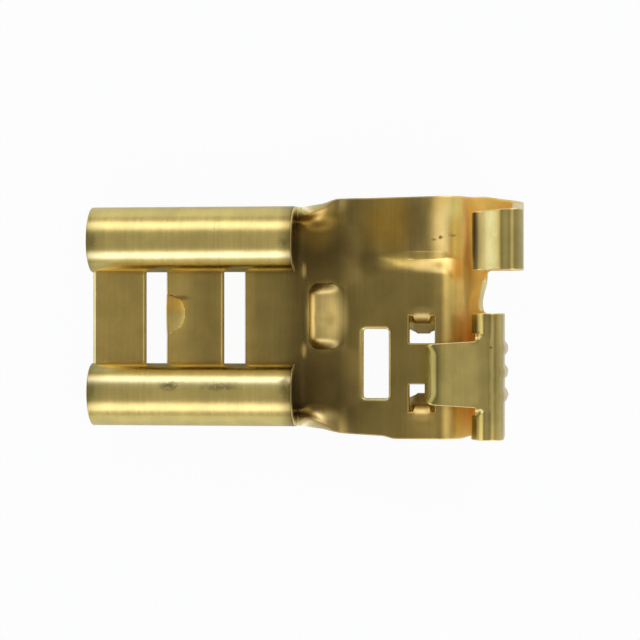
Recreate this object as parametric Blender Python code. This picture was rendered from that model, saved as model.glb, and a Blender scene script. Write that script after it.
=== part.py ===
"""Female spade terminal of the flag type, stamped and folded from one strip of brass.

The receptacle lies along X with its mouth at the low end, and the crimp barrel at the
other end lies along Y, square to it. The part is made the way the real one is: a flat
blank is cut out with its slots, every point of the blank is carried through the folds,
and the folded sheet is then given its thickness. It ends lying as it comes to rest, on
its mouth and on the underside of its barrel. Sizes are in millimetres, the model is in
metres.
"""

import math

import bmesh
import bpy
import numpy
from mathutils import Matrix, Vector
from mathutils.geometry import delaunay_2d_cdt

MM = 0.001

# Sheet and mating tab
STOCK = 0.40
TAB_WIDTH = 6.30
TAB_THICKNESS = 0.80
TAB_SIDE_PLAY = 0.30
TAB_GRIP = 0.05

# Receptacle rails
RAIL_LENGTH = 7.20
FLOOR_LEAD = 0.21
FLOOR_CORNER_RADIUS = 0.30
UPPER_CROWN_RADIUS = 0.75
LOWER_CROWN_RADIUS = 0.70
LIP_DROP = 0.10

# Slots across the receptacle floor
SLOT_LENGTH = 4.40
SLOT_WIDTH = 0.80
FRONT_SLOT_START = 1.69
REAR_SLOT_START = 4.51
SLOT_CORNER_RADIUS = 0.06

# Half dimple that clicks into the mating tab's hole
DIMPLE_RADIUS = 0.66
DIMPLE_HEIGHT = 0.26
DIMPLE_OFFSET = 0.10

# Neck between receptacle and plate
RAMP_START = 7.20
RAMP_RISE = 0.80
RAMP_ANGLE = 24.0
RAMP_RADIUS = 0.60
EAR_HEIGHT = 0.72
EAR_END = 8.95
FLARE_START = 8.32
FLARE_END = 8.68

# Stop pad pressed up out of the neck
STOP_START = 7.66
STOP_LENGTH = 1.34
STOP_WIDTH = 2.20
STOP_HEIGHT = 0.34
STOP_FLANK = 0.34

# Plate
PLATE_LENGTH = 2.80
PLATE_TOP = 4.11
PLATE_BOTTOM = 4.06
PLATE_BOTTOM_WIDE = 4.26
PLATE_WIDENING_START = 10.45
PLATE_WIDENING_END = 10.80

# Inspection slot in the plate
WINDOW_START = 9.74
WINDOW_LENGTH = 0.90
WINDOW_WIDTH = 2.41
WINDOW_CENTRE = -1.65
WINDOW_CORNER_RADIUS = 0.10

# Two lances pressed down out of the plate, facing each other
LANCE_START = 11.28
LANCE_WIDTH = 0.86
LANCE_LENGTH = 0.86
LANCE_SPREAD = 3.20
LANCE_ANGLE = 70.0
LANCE_RADIUS = 0.05
LANCE_ARCH = 0.22
LANCE_ARCH_POWER = 4
SHEAR_GAP = 0.04

# Wire barrel
SHOULDER_RADIUS = 0.45
SHOULDER_TURN = 82.0
BARREL_DEPTH = 2.30
WIRE_BORE_RADIUS = 0.46
WIRE_WING_RISE = 0.70
WIRE_WING_RADIUS = 0.12
WIRE_WING_TOP = 0.10
FLANGE_WIDTH = 0.42

# Ribs pressed out across the wire barrel
RIB_COUNT = 3
RIB_PITCH = 0.82
RIB_FIRST = -1.12
RIB_WIDTH = 0.42
RIB_HEIGHT = 0.13

# Lock tab on the wire wing
LOCK_TOP = -0.86
LOCK_BOTTOM = -3.14
LOCK_LENGTH = 1.31
LOCK_TAPER = 0.10
LOCK_TIP_RADIUS = 0.06
LOCK_TIP_TURN = 90.0
LOCK_CORNER_RADIUS = 0.38

# Insulation barrel
SLOPE_FLAT = 0.65
SLOPE_RADIUS = 4.20
SLOPE_TURN = 26.0
INSULATION_BORE_RADIUS = 1.13
INSULATION_SHOULDER_TURN = 54.0
INSULATION_WING_RISE = 1.10
INSULATION_WING_RADIUS = 0.18
INSULATION_WING_FLAT = 0.15
INSULATION_TIP_RADIUS = 0.68
INSULATION_TIP_TURN = 72.0
INSULATION_FLARE = 0.17
INSULATION_TIP_TOP = 3.58
INSULATION_WALL_TOP = 3.68
INSULATION_LOW_ROOT = 1.64
INSULATION_LOW_TIP = 1.56
STEP_TOP = 2.22
STEP_BOTTOM = 1.62

# Notch between the two wings
NOTCH_WIRE_REACH = 0.14
NOTCH_INSULATION_REACH = 0.12
NOTCH_RADIUS = 0.14

# Rounding of the blank's corners
SHARP_FILLET = 0.06
EAR_FILLET = 0.10
NECK_FILLET = 0.60
SHOULDER_FILLET = 0.45
SLOPE_FILLET = 2.00
TOP_FILLET = 1.50

# Fineness of the mesh, as angles in degrees and lengths in millimetres
ARC_STEP = 14.0
WING_ARC_STEP = 12.0
RAMP_ARC_STEP = 6.0
CORNER_STEP = 30.0
STRAIGHT_HALF_TURN = 88.0
CORNER_SHARE = 0.48
LANCE_STEP = 0.06
FINE_STEP = 0.125
MEDIUM_STEP = 0.25
BARREL_STEP = 0.50
FLOOR_STEP = 0.75
EDGE_CLEARANCE = 0.035
LINE_REACH = 0.15
DIMPLE_RINGS = 5
DIMPLE_SPOKES = 12
DIMPLE_CROWDING = 1.6
JOIN_ANGLE = 40.0
SHARP_ANGLE = 35.0

BRASS_COLOUR = (0.46, 0.33, 0.11, 1.0)
BRASS_ROUGHNESS = 0.28


def flat(length):
    """A straight stretch of a folded profile, as its length and its turn."""
    return (length, 0.0)


def bend(inside_radius, turn):
    """A bend of a folded profile, as the length of its middle line and its turn."""
    return ((inside_radius + STOCK / 2) * math.radians(abs(turn)), turn)


def walk(profile, distance):
    """Place and heading after a distance along a profile that starts along +X."""
    along, up, heading = 0.0, 0.0, 0.0
    for length, turn in profile:
        step = min(max(distance, 0.0), length)
        distance -= step
        if turn == 0.0:
            along += step * math.cos(heading)
            up += step * math.sin(heading)
        elif step > 0.0:
            radius = length / math.radians(turn)
            after = heading + step / radius
            along += radius * (math.sin(after) - math.sin(heading))
            up += radius * (math.cos(heading) - math.cos(after))
            heading = after
        if distance <= 0.0:
            break
    return along + distance * math.cos(heading), up + distance * math.sin(heading), heading


def run(profile, count):
    """Length of the first pieces of a profile."""
    return sum(length for length, _ in profile[:count])


def smooth(start, end, value):
    """Smooth step from 0 at start to 1 at end."""
    share = min(max((value - start) / (end - start), 0.0), 1.0)
    return share * share * (3 - 2 * share)


def stations(profile, count, arc_step=ARC_STEP, first=0):
    """Distances along a profile where its mesh has a line: the ends of pieces and points in bends."""
    found = [run(profile, first)]
    for length, turn in profile[first:count]:
        steps = max(1, round(abs(turn) / arc_step))
        begin = found[-1]
        found += [begin + length * step / steps for step in range(1, steps + 1)]
    return found


def spaced(start, end, step):
    """Evenly spaced values from start to end, about a step apart."""
    count = max(1, round((end - start) / step))
    return [start + (end - start) * i / count for i in range(count + 1)]


# Cross-section of the receptacle, from its centre line out to the rolled lip of each rail
FLOOR_HALF = TAB_WIDTH / 2 + TAB_SIDE_PLAY - FLOOR_CORNER_RADIUS
LIP_HEIGHT = STOCK / 2 + TAB_THICKNESS - TAB_GRIP
WALL_HEIGHT = LIP_HEIGHT + LIP_DROP - FLOOR_CORNER_RADIUS - STOCK / 2


def rail_section(crown_radius):
    """Half of the receptacle's cross-section, with a rail of a given crown."""
    return [
        flat(FLOOR_HALF),
        bend(FLOOR_CORNER_RADIUS, 90.0),
        flat(WALL_HEIGHT),
        bend(crown_radius, 180.0),
        flat(LIP_DROP),
    ]


UPPER_SECTION = rail_section(UPPER_CROWN_RADIUS)
LOWER_SECTION = rail_section(LOWER_CROWN_RADIUS)

# Lengthwise profile through the wire barrel, from the mouth to the tip of the lock tab
RAMP_MID_RADIUS = RAMP_RADIUS + STOCK / 2
RAMP_SINE = math.sin(math.radians(RAMP_ANGLE))
RAMP_COSINE = math.cos(math.radians(RAMP_ANGLE))
RAMP_LENGTH = (RAMP_RISE - 2 * RAMP_MID_RADIUS * (1 - RAMP_COSINE)) / RAMP_SINE
NECK = [
    flat(RAMP_START),
    bend(RAMP_RADIUS, RAMP_ANGLE),
    flat(RAMP_LENGTH),
    bend(RAMP_RADIUS, -RAMP_ANGLE),
]


def fall(inside_radius, from_angle, to_angle):
    """Height lost in a bend between two downward angles."""
    mid_radius = inside_radius + STOCK / 2
    return mid_radius * abs(math.cos(math.radians(from_angle)) - math.cos(math.radians(to_angle)))


WIRE_WALL_FALL = (
    BARREL_DEPTH
    - fall(SHOULDER_RADIUS, 0.0, SHOULDER_TURN)
    - fall(WIRE_BORE_RADIUS, 0.0, SHOULDER_TURN)
)
WIRE_WALL = WIRE_WALL_FALL / math.sin(math.radians(SHOULDER_TURN))
WIRE_FAR_WALL = BARREL_DEPTH + WIRE_WING_RISE - WIRE_BORE_RADIUS - WIRE_WING_RADIUS - STOCK
WIRE = NECK + [
    flat(PLATE_LENGTH),
    bend(SHOULDER_RADIUS, -SHOULDER_TURN),
    flat(WIRE_WALL),
    bend(WIRE_BORE_RADIUS, SHOULDER_TURN),
    bend(WIRE_BORE_RADIUS, 90.0),
    flat(WIRE_FAR_WALL),
    bend(WIRE_WING_RADIUS, 90.0),
    flat(FLANGE_WIDTH),
    flat(LOCK_LENGTH),
    bend(LOCK_TIP_RADIUS, LOCK_TIP_TURN),
]
WIRE_SHOULDER = run(WIRE, 5)
WIRE_BOTTOM = run(WIRE, 8)
WIRE_EDGE = run(WIRE, 12)
LOCK_END = run(WIRE, 14)

# Lengthwise profile through the insulation barrel
INSULATION_STEEP = SLOPE_TURN + INSULATION_SHOULDER_TURN
INSULATION_WALL_FALL = (
    BARREL_DEPTH
    - fall(SLOPE_RADIUS, 0.0, SLOPE_TURN)
    - fall(SHOULDER_RADIUS, SLOPE_TURN, INSULATION_STEEP)
    - fall(INSULATION_BORE_RADIUS, 0.0, INSULATION_STEEP)
)
INSULATION_WALL = INSULATION_WALL_FALL / math.sin(math.radians(INSULATION_STEEP))
INSULATION_FAR_WALL = (
    BARREL_DEPTH + INSULATION_WING_RISE - INSULATION_BORE_RADIUS - INSULATION_WING_RADIUS - STOCK
)
INSULATION = NECK + [
    flat(SLOPE_FLAT),
    bend(SLOPE_RADIUS, -SLOPE_TURN),
    bend(SHOULDER_RADIUS, -INSULATION_SHOULDER_TURN),
    flat(INSULATION_WALL),
    bend(INSULATION_BORE_RADIUS, INSULATION_STEEP),
    bend(INSULATION_BORE_RADIUS, 90.0),
    flat(INSULATION_FAR_WALL),
    bend(INSULATION_WING_RADIUS, 90.0),
    flat(INSULATION_WING_FLAT),
    bend(INSULATION_TIP_RADIUS, INSULATION_TIP_TURN),
]
SLOPE_START = run(INSULATION, 5)
INSULATION_BOTTOM = run(INSULATION, 9)
INSULATION_WALL_END = run(INSULATION, 11)
INSULATION_END = run(INSULATION, 14)


def insulation_share(s, v):
    """How far a point of the blank follows the insulation barrel rather than the wire barrel."""
    along = smooth(WIRE_SHOULDER, WIRE_BOTTOM, s)
    low = STEP_BOTTOM + (WIRE_WING_TOP + NOTCH_RADIUS - STEP_BOTTOM) * along
    high = STEP_TOP + (INSULATION_LOW_TIP - STEP_TOP) * along
    return smooth(low, high, v)


def lengthwise(s, v):
    """Place and heading in the XZ plane of a point of the blank, on the sheet's middle surface."""
    share = insulation_share(s, v)
    wire = walk(WIRE, s)
    insulation = walk(INSULATION, s)
    return [a + (b - a) * share for a, b in zip(wire, insulation)]


def crosswise(s, v):
    """Place across the receptacle and height over its floor; the roll fades out along the neck."""
    roll = 1.0 - smooth(RAIL_LENGTH, EAR_END, s)
    section = UPPER_SECTION if v > 0.0 else LOWER_SECTION
    eased = [(length, turn * roll) for length, turn in section]
    across, height, _ = walk(eased, abs(v))
    return math.copysign(across, v), height


def dimple_height(s, v):
    """Half dome at the edge of the bridge between the slots."""
    across = math.hypot(s - FRONT_SLOT_START - SLOT_WIDTH, v - DIMPLE_OFFSET)
    if s < FRONT_SLOT_START + SLOT_WIDTH - SLOT_CORNER_RADIUS or across > DIMPLE_RADIUS:
        return 0.0
    return DIMPLE_HEIGHT * math.sqrt(1.0 - (across / DIMPLE_RADIUS) ** 2)


def stop_height(s, v):
    """Pillow pressed up out of the neck."""
    from_end = STOP_LENGTH / 2 - abs(s - STOP_START - STOP_LENGTH / 2)
    from_side = STOP_WIDTH / 2 - abs(v)
    return STOP_HEIGHT * smooth(0.0, STOP_FLANK, from_end) * smooth(0.0, STOP_FLANK, from_side)


def rib_depth(s, v):
    """Ribs pressed outwards round the wire barrel; they fade out at the shoulder and the wing."""
    depth = 0.0
    for rib in range(RIB_COUNT):
        centre = RIB_FIRST - rib * RIB_PITCH
        depth += 1.0 - smooth(0.0, RIB_WIDTH / 2, abs(v - centre))
    rise = smooth(run(WIRE, 6), run(WIRE, 7), s)
    fade = 1.0 - smooth(run(WIRE, 9) + WIRE_FAR_WALL / 2, run(WIRE, 11), s)
    return RIB_HEIGHT * depth * rise * fade


LANCE_BEND = [bend(LANCE_RADIUS, LANCE_ANGLE)]


def lance_root(side):
    """Edge of the blank's window at which a lance is hinged."""
    return WINDOW_CENTRE + side * LANCE_SPREAD / 2


def lance_hinge(s, side):
    """Place across the plate of the arched line round which a lance is bent."""
    from_middle = abs(s - LANCE_START - LANCE_WIDTH / 2) / (LANCE_WIDTH / 2)
    return lance_root(side) + side * LANCE_ARCH * (1.0 - from_middle ** LANCE_ARCH_POWER)


def lance_reach(s, v, side):
    """Distance of a point past the hinge line of a lance, or nothing outside the lance."""
    reach = (lance_hinge(s, side) - v) * side
    to_tip = LANCE_LENGTH - (lance_root(side) - v) * side
    to_side = LANCE_WIDTH / 2 - abs(s - LANCE_START - LANCE_WIDTH / 2)
    inside = min(to_tip, to_side) > SHEAR_GAP / 2
    return reach if inside and reach > 0.0 else None


def lance_column(s, side):
    """Points of a lance along one of its mesh lines, from its hinge to short of its tip."""
    bent = run(LANCE_BEND, 1)
    rows = spaced(0.0, bent, LANCE_STEP) + spaced(bent, LANCE_LENGTH, MEDIUM_STEP)[1:]
    return [Vector((s, lance_hinge(s, side) - side * row)) for row in rows]


def lance_points():
    """Mesh points over both lances, in rows that follow the hinge lines."""
    columns = spaced(LANCE_START + SHEAR_GAP, LANCE_START + LANCE_WIDTH - SHEAR_GAP, FINE_STEP)
    return [point for side in (1, -1) for s in columns for point in lance_column(s, side)]


def formed(s, v):
    """Carries a point of the flat blank through every fold, to the sheet's middle surface."""
    x, z, heading = lengthwise(s, v)
    y, height = crosswise(s, v)
    height += dimple_height(s, v) + stop_height(s, v) - rib_depth(s, v)
    for side in (1, -1):
        reach = lance_reach(s, v, side)
        if reach is not None:
            along, down, _ = walk(LANCE_BEND, reach)
            y = v + side * (reach - along)
            height -= down
    return Vector((x - math.sin(heading) * height, y, z + math.cos(heading) * height)) * MM


def rounded(corners):
    """A closed outline of straight sides whose corners (s, v, radius) become arcs."""
    points = []
    for index, (s, v, radius) in enumerate(corners):
        here = Vector((s, v))
        before = Vector(corners[index - 1][:2]) - here
        after = Vector(corners[(index + 1) % len(corners)][:2]) - here
        half_turn = before.angle(after) / 2
        if radius <= 0.0 or half_turn > math.radians(STRAIGHT_HALF_TURN):
            points.append(here)
            continue
        longest = CORNER_SHARE * min(before.length, after.length)
        setback = min(radius / math.tan(half_turn), longest)
        centre = here + (before.normalized() + after.normalized()).normalized() * (
            setback / math.cos(half_turn)
        )
        first = here + before.normalized() * setback - centre
        sweep = first.angle_signed(here + after.normalized() * setback - centre)
        steps = max(2, round(math.degrees(abs(sweep)) / CORNER_STEP))
        points += [centre + Matrix.Rotation(-sweep * i / steps, 2) @ first for i in range(steps + 1)]
    return points


def slot(start, length, low, high, radius):
    """A slot through the blank, as its outline."""
    return rounded([
        (start, low, radius),
        (start + length, low, radius),
        (start + length, high, radius),
        (start, high, radius),
    ])


def lance_cut(side):
    """The U-shaped shear cut that frees a lance on three sides."""
    root = lance_root(side)
    tip = root - side * LANCE_LENGTH
    inner_tip = tip + side * SHEAR_GAP
    left = LANCE_START
    right = LANCE_START + LANCE_WIDTH
    column = [
        point.y
        for point in lance_column(right - SHEAR_GAP, side)
        if EDGE_CLEARANCE < (root - point.y) * side < LANCE_LENGTH - 2 * WINDOW_CORNER_RADIUS
    ]
    return rounded(
        [
            (left, root, 0.0),
            (left, tip, WINDOW_CORNER_RADIUS),
            (right, tip, WINDOW_CORNER_RADIUS),
            (right, root, 0.0),
            (right - SHEAR_GAP, root, 0.0),
        ]
        + [(right - SHEAR_GAP, v, 0.0) for v in column]
        + [
            (right - SHEAR_GAP, inner_tip, WINDOW_CORNER_RADIUS),
            (left + SHEAR_GAP, inner_tip, WINDOW_CORNER_RADIUS),
        ]
        + [(left + SHEAR_GAP, v, 0.0) for v in reversed(column)]
        + [(left + SHEAR_GAP, root, 0.0)]
    )


def blank_outline():
    """Outer edge of the flat blank, anticlockwise from the low corner of the mouth."""
    ear = FLOOR_HALF + EAR_HEIGHT
    widening = PLATE_BOTTOM_WIDE - PLATE_BOTTOM
    crown = run(UPPER_SECTION, 3)
    upper_lip = run(UPPER_SECTION, 5)
    lower_lip = run(LOWER_SECTION, 5)
    return rounded([
        (0.0, -lower_lip, 0.0),
        (RAIL_LENGTH, -lower_lip, 0.0),
        (RAIL_LENGTH, -ear, EAR_FILLET),
        (FLARE_START, -ear, NECK_FILLET),
        (FLARE_END, -PLATE_BOTTOM, NECK_FILLET),
        (PLATE_WIDENING_START, -PLATE_BOTTOM - widening / 2, NECK_FILLET),
        (PLATE_WIDENING_END, -PLATE_BOTTOM_WIDE, NECK_FILLET),
        (WIRE_EDGE, -PLATE_BOTTOM_WIDE, SHARP_FILLET),
        (WIRE_EDGE, LOCK_BOTTOM, SHARP_FILLET),
        (LOCK_END, LOCK_BOTTOM + LOCK_TAPER, LOCK_CORNER_RADIUS),
        (LOCK_END, LOCK_TOP - LOCK_TAPER, LOCK_CORNER_RADIUS),
        (WIRE_EDGE, LOCK_TOP, SHARP_FILLET),
        (WIRE_EDGE, WIRE_WING_TOP, SHARP_FILLET),
        (WIRE_BOTTOM + NOTCH_WIRE_REACH, WIRE_WING_TOP, NOTCH_RADIUS),
        (INSULATION_BOTTOM + NOTCH_INSULATION_REACH, INSULATION_LOW_ROOT, NOTCH_RADIUS),
        (INSULATION_END, INSULATION_LOW_TIP, SHARP_FILLET),
        (INSULATION_END, INSULATION_TIP_TOP, SHARP_FILLET),
        (INSULATION_WALL_END, INSULATION_WALL_TOP, TOP_FILLET),
        (INSULATION_BOTTOM, PLATE_TOP + INSULATION_FLARE, TOP_FILLET),
        (SLOPE_START, PLATE_TOP, SLOPE_FILLET),
        (FLARE_END, PLATE_TOP, SHOULDER_FILLET),
        (FLARE_START, ear, NECK_FILLET),
        (RAIL_LENGTH, ear, EAR_FILLET),
        (RAIL_LENGTH, upper_lip, 0.0),
        (0.0, upper_lip, 0.0),
        (0.0, crown, NECK_FILLET),
        (-FLOOR_LEAD, FLOOR_HALF, NECK_FILLET),
        (-FLOOR_LEAD, -FLOOR_HALF, NECK_FILLET),
        (0.0, -crown, NECK_FILLET),
    ])


def blank_holes():
    """Slots, window and lance cuts in the blank."""
    half = SLOT_LENGTH / 2
    window_low = WINDOW_CENTRE - WINDOW_WIDTH / 2
    window_high = WINDOW_CENTRE + WINDOW_WIDTH / 2
    return [
        slot(FRONT_SLOT_START, SLOT_WIDTH, -half, half, SLOT_CORNER_RADIUS),
        slot(REAR_SLOT_START, SLOT_WIDTH, -half, half, SLOT_CORNER_RADIUS),
        slot(WINDOW_START, WINDOW_LENGTH, window_low, window_high, WINDOW_CORNER_RADIUS),
        lance_cut(1),
        lance_cut(-1),
    ]


def floor_lines():
    """Mesh lines across the receptacle: its ends, the sides of its slots and halfway between."""
    ends = [-FLOOR_LEAD, FRONT_SLOT_START, FRONT_SLOT_START + SLOT_WIDTH]
    ends += [REAR_SLOT_START, REAR_SLOT_START + SLOT_WIDTH, RAIL_LENGTH]
    halfway = [(ends[i] + ends[i + 1]) / 2 for i in (0, 2, 4)]
    return sorted(ends + halfway)


def mesh_lines():
    """Patches of the blank, each with the mesh lines along and across it that its folds need."""
    upper_v = stations(UPPER_SECTION, 5, first=1)
    lower_v = [-v for v in reversed(stations(LOWER_SECTION, 5, first=1))]
    floor_s = floor_lines()
    dimple_v = spaced(DIMPLE_OFFSET - DIMPLE_RADIUS, DIMPLE_OFFSET + DIMPLE_RADIUS, FINE_STEP)
    neck_s = stations(NECK, 4, RAMP_ARC_STEP, first=1)
    pad_half = STOP_WIDTH / 2
    pad_s = spaced(STOP_START, STOP_START + STOP_LENGTH, FINE_STEP)
    pad_v = spaced(-pad_half, -pad_half + STOP_FLANK, FINE_STEP)[:-1]
    pad_v += spaced(-pad_half + STOP_FLANK, pad_half - STOP_FLANK, MEDIUM_STEP)[:-1]
    pad_v += spaced(pad_half - STOP_FLANK, pad_half, FINE_STEP)
    ear_s = spaced(RAIL_LENGTH, run(NECK, 4), FINE_STEP)
    ear_v = spaced(FLOOR_HALF, PLATE_TOP, FINE_STEP)
    rib_v = []
    for rib in range(RIB_COUNT):
        centre = RIB_FIRST - rib * RIB_PITCH
        rib_v += [centre + RIB_WIDTH / 2 * share for share in (1.0, 0.5, 0.0, -0.5, -1.0)]
    wire_v = [WIRE_WING_TOP, (WIRE_WING_TOP + LOCK_TOP) / 2] + rib_v
    wire_v += [(rib_v[-1] - PLATE_BOTTOM_WIDE) / 2, -PLATE_BOTTOM_WIDE]
    lock_v = spaced(LOCK_BOTTOM + LOCK_TAPER, LOCK_TOP - LOCK_TAPER, MEDIUM_STEP)
    channel_s = stations(WIRE, 8, first=5)
    insulation_s = stations(INSULATION, 14, WING_ARC_STEP, first=5)
    wing_s = stations(INSULATION, 14, WING_ARC_STEP, first=9)
    step_s = spaced(SLOPE_START, WIRE_SHOULDER, MEDIUM_STEP)
    return [
        (floor_s, upper_v),
        (floor_s, lower_v),
        (floor_s, [-FLOOR_HALF + FINE_STEP, 0.0, FLOOR_HALF - FINE_STEP]),
        ([FRONT_SLOT_START + SLOT_WIDTH], dimple_v),
        (pad_s, pad_v),
        (neck_s[:2], spaced(-pad_half, pad_half, MEDIUM_STEP)),
        (neck_s[-4:], spaced(-pad_half, pad_half, MEDIUM_STEP)),
        (neck_s, spaced(-FLOOR_HALF, -pad_half - FINE_STEP, FLOOR_STEP)),
        (neck_s, spaced(pad_half + FINE_STEP, FLOOR_HALF, FLOOR_STEP)),
        (ear_s, ear_v),
        (ear_s, [-v for v in reversed(ear_v)]),
        (step_s, spaced(STEP_BOTTOM - FINE_STEP, STEP_TOP + FINE_STEP, FINE_STEP)),
        (stations(WIRE, 12, first=5), sorted(wire_v)),
        (stations(WIRE, 14, first=12), lock_v),
        (channel_s, spaced(WIRE_WING_TOP, STEP_BOTTOM, MEDIUM_STEP)),
        (insulation_s, spaced(STEP_TOP, PLATE_TOP + INSULATION_FLARE, BARREL_STEP)),
        (wing_s, spaced(INSULATION_LOW_TIP, STEP_TOP, MEDIUM_STEP)),
    ]


def near_patch(patch, point):
    """True where a point of the blank lies in a patch of mesh lines, or just past its border."""
    along, across = patch
    return (
        along[0] - LINE_REACH <= point.x <= along[-1] + LINE_REACH
        and across[0] - LINE_REACH <= point.y <= across[-1] + LINE_REACH
    )


def split_at_lines(loop, patches):
    """Adds a point wherever a side of an outline crosses a mesh line of the patch it runs through."""
    result = []
    for index, start in enumerate(loop):
        end = loop[(index + 1) % len(loop)]
        side = end - start
        shares = []
        for patch in patches:
            for axis in (0, 1):
                if abs(side[axis]) < 1e-9:
                    continue
                for line in patch[axis]:
                    share = (line - start[axis]) / side[axis]
                    if 0.0 < share < 1.0 and near_patch(patch, start + side * share):
                        shares.append(share)
        result.append(start)
        last = 0.0
        for share in sorted(shares):
            if min(share - last, 1.0 - share) * side.length > EDGE_CLEARANCE:
                result.append(start + side * share)
                last = share
    return result


class Edges:
    """Every side of the blank's outlines, for testing points against them."""

    def __init__(self, loops):
        self.start = numpy.array([point for loop in loops for point in loop])
        self.end = numpy.array([point for loop in loops for point in loop[1:] + loop[:1]])
        self.side = self.end - self.start
        self.length_squared = (self.side ** 2).sum(axis=1)

    def clearance(self, point):
        """Distance from a point to the nearest edge."""
        offset = numpy.array(point) - self.start
        share = numpy.clip((offset * self.side).sum(axis=1) / self.length_squared, 0.0, 1.0)
        return math.sqrt((((self.side * share[:, None]) - offset) ** 2).sum(axis=1).min())

    def on_sheet(self, point):
        """True where a point lies inside the outer edge and in no hole."""
        crossed = (self.start[:, 1] > point[1]) != (self.end[:, 1] > point[1])
        start, side = self.start[crossed], self.side[crossed]
        crossing = start[:, 0] + (point[1] - start[:, 1]) * side[:, 0] / side[:, 1]
        return bool((crossing > point[0]).sum() % 2)


def dimple_points():
    """Rings of points over the half dome, closer together towards its rim, and one round it."""
    centre = Vector((FRONT_SLOT_START + SLOT_WIDTH, DIMPLE_OFFSET))
    shares = [1.0 - (ring / DIMPLE_RINGS) ** DIMPLE_CROWDING for ring in range(DIMPLE_RINGS)]
    points = []
    for radius in [DIMPLE_RADIUS + FINE_STEP] + [DIMPLE_RADIUS * share for share in shares]:
        for spoke in range(1, DIMPLE_SPOKES):
            turn = math.pi * (spoke / DIMPLE_SPOKES - 0.5)
            points.append(centre + Vector((math.cos(turn), math.sin(turn))) * radius)
    return points


def flat_blank():
    """Corners and triangles of the flat blank, with its mesh lines where the folds will be."""
    patches = mesh_lines()
    loops = [split_at_lines(loop, patches) for loop in [blank_outline()] + blank_holes()]
    points = [point for loop in loops for point in loop]
    constraints = []
    for loop in loops:
        first = len(constraints)
        constraints += [(first + i, first + (i + 1) % len(loop)) for i in range(len(loop))]
    edges = Edges(loops)
    candidates = [Vector((s, v)) for patch in patches for s in patch[0] for v in patch[1]]
    taken = set()
    for point in dimple_points() + lance_points() + candidates:
        cell = (round(point.x / EDGE_CLEARANCE), round(point.y / EDGE_CLEARANCE))
        if cell in taken or edges.clearance(point) < EDGE_CLEARANCE or not edges.on_sheet(point):
            continue
        taken.add(cell)
        points.append(point)
    corners, _, faces, _, _, _ = delaunay_2d_cdt(points, constraints, [], 1, 1e-6)
    middles = [sum((corners[i] for i in face), Vector((0, 0))) / len(face) for face in faces]
    kept = [face for face, middle in zip(faces, middles) if edges.on_sheet(middle)]
    return corners, kept


def folded_sheet():
    """Mesh of the sheet's middle surface after folding, its faces pointing to the viewer's side."""
    corners, faces = flat_blank()
    sheet = bmesh.new()
    for corner in corners:
        sheet.verts.new(formed(corner.x, corner.y))
    sheet.verts.ensure_lookup_table()
    for face in faces:
        sheet.faces.new([sheet.verts[i] for i in face])
    bmesh.ops.delete(sheet, geom=[v for v in sheet.verts if not v.link_faces], context="VERTS")
    bmesh.ops.join_triangles(
        sheet,
        faces=sheet.faces[:],
        angle_face_threshold=math.radians(JOIN_ANGLE),
        angle_shape_threshold=math.radians(JOIN_ANGLE),
    )
    return sheet


def rest_tilt():
    """Angle by which the part leans when it lies on its mouth and on the ribs under its barrel."""
    x, z, _ = walk(WIRE, WIRE_BOTTOM)
    from_mouth = x + FLOOR_LEAD
    outer_radius = WIRE_BORE_RADIUS + STOCK + RIB_HEIGHT
    centre_up = z + WIRE_BORE_RADIUS + STOCK
    reach = math.hypot(from_mouth, centre_up)
    return math.asin(outer_radius / reach) - math.atan2(centre_up, from_mouth)


def lay_down(mesh):
    """Turns the part to its rest and puts the middle of its underside at the origin."""
    mesh.transform(Matrix.Rotation(-rest_tilt(), 4, "Y"))
    low = Vector([min(v.co[axis] for v in mesh.vertices) for axis in range(3)])
    high = Vector([max(v.co[axis] for v in mesh.vertices) for axis in range(3)])
    middle = (low + high) / 2
    mesh.transform(Matrix.Translation((-middle.x, -middle.y, -low.z)))


def brass():
    """Plain brass, as the strip comes from the mill."""
    material = bpy.data.materials.new("brass")
    material.use_nodes = True
    shader = material.node_tree.nodes["Principled BSDF"]
    shader.inputs["Base Color"].default_value = BRASS_COLOUR
    shader.inputs["Metallic"].default_value = 1.0
    shader.inputs["Roughness"].default_value = BRASS_ROUGHNESS
    return material


def thickened(sheet):
    """Mesh of the sheet with its thickness, half to each side of the middle surface."""
    middle = bpy.data.meshes.new("folded_sheet")
    sheet.to_mesh(middle)
    sheet.free()
    form = bpy.data.objects.new("folded_sheet", middle)
    bpy.context.scene.collection.objects.link(form)
    solidify = form.modifiers.new("stock", "SOLIDIFY")
    solidify.thickness = STOCK * MM
    solidify.offset = 0.0
    bpy.context.view_layer.update()
    solid = bpy.data.meshes.new_from_object(form.evaluated_get(bpy.context.evaluated_depsgraph_get()))
    bpy.data.objects.remove(form)
    bpy.data.meshes.remove(middle)
    return solid


def build_terminal():
    """The whole part as one solid, lying at rest."""
    mesh = thickened(folded_sheet())
    mesh.name = "terminal"
    lay_down(mesh)
    mesh.shade_smooth()
    mesh.set_sharp_from_angle(angle=math.radians(SHARP_ANGLE))
    mesh.materials.clear()
    mesh.materials.append(brass())
    terminal = bpy.data.objects.new("terminal", mesh)
    bpy.context.scene.collection.objects.link(terminal)
    return terminal


for leftover in list(bpy.data.objects):
    bpy.data.objects.remove(leftover)
build_terminal()
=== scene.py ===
# %% [markdown]
# # A female spade terminal in folded brass
#
# The object is one piece of brass sheet, 0.4 mm thick, cut out flat with its slots and then
# folded: two rolled rails that grip a flat tab, a short ramp, a plate, and a crimp barrel
# square to the rails. By hand it could be a plane, extruded round each bend in edit mode,
# with a Solidify modifier. But bends cross bends here, and edges placed by eye would stretch
# the sheet. So the scene works as the press does: the flat blank is meshed, every point is
# carried through the folds, and then the sheet gets its two faces and its cut edge. Lengths
# are written in millimetres, and the scene is in metres.

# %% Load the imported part
import math

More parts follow.
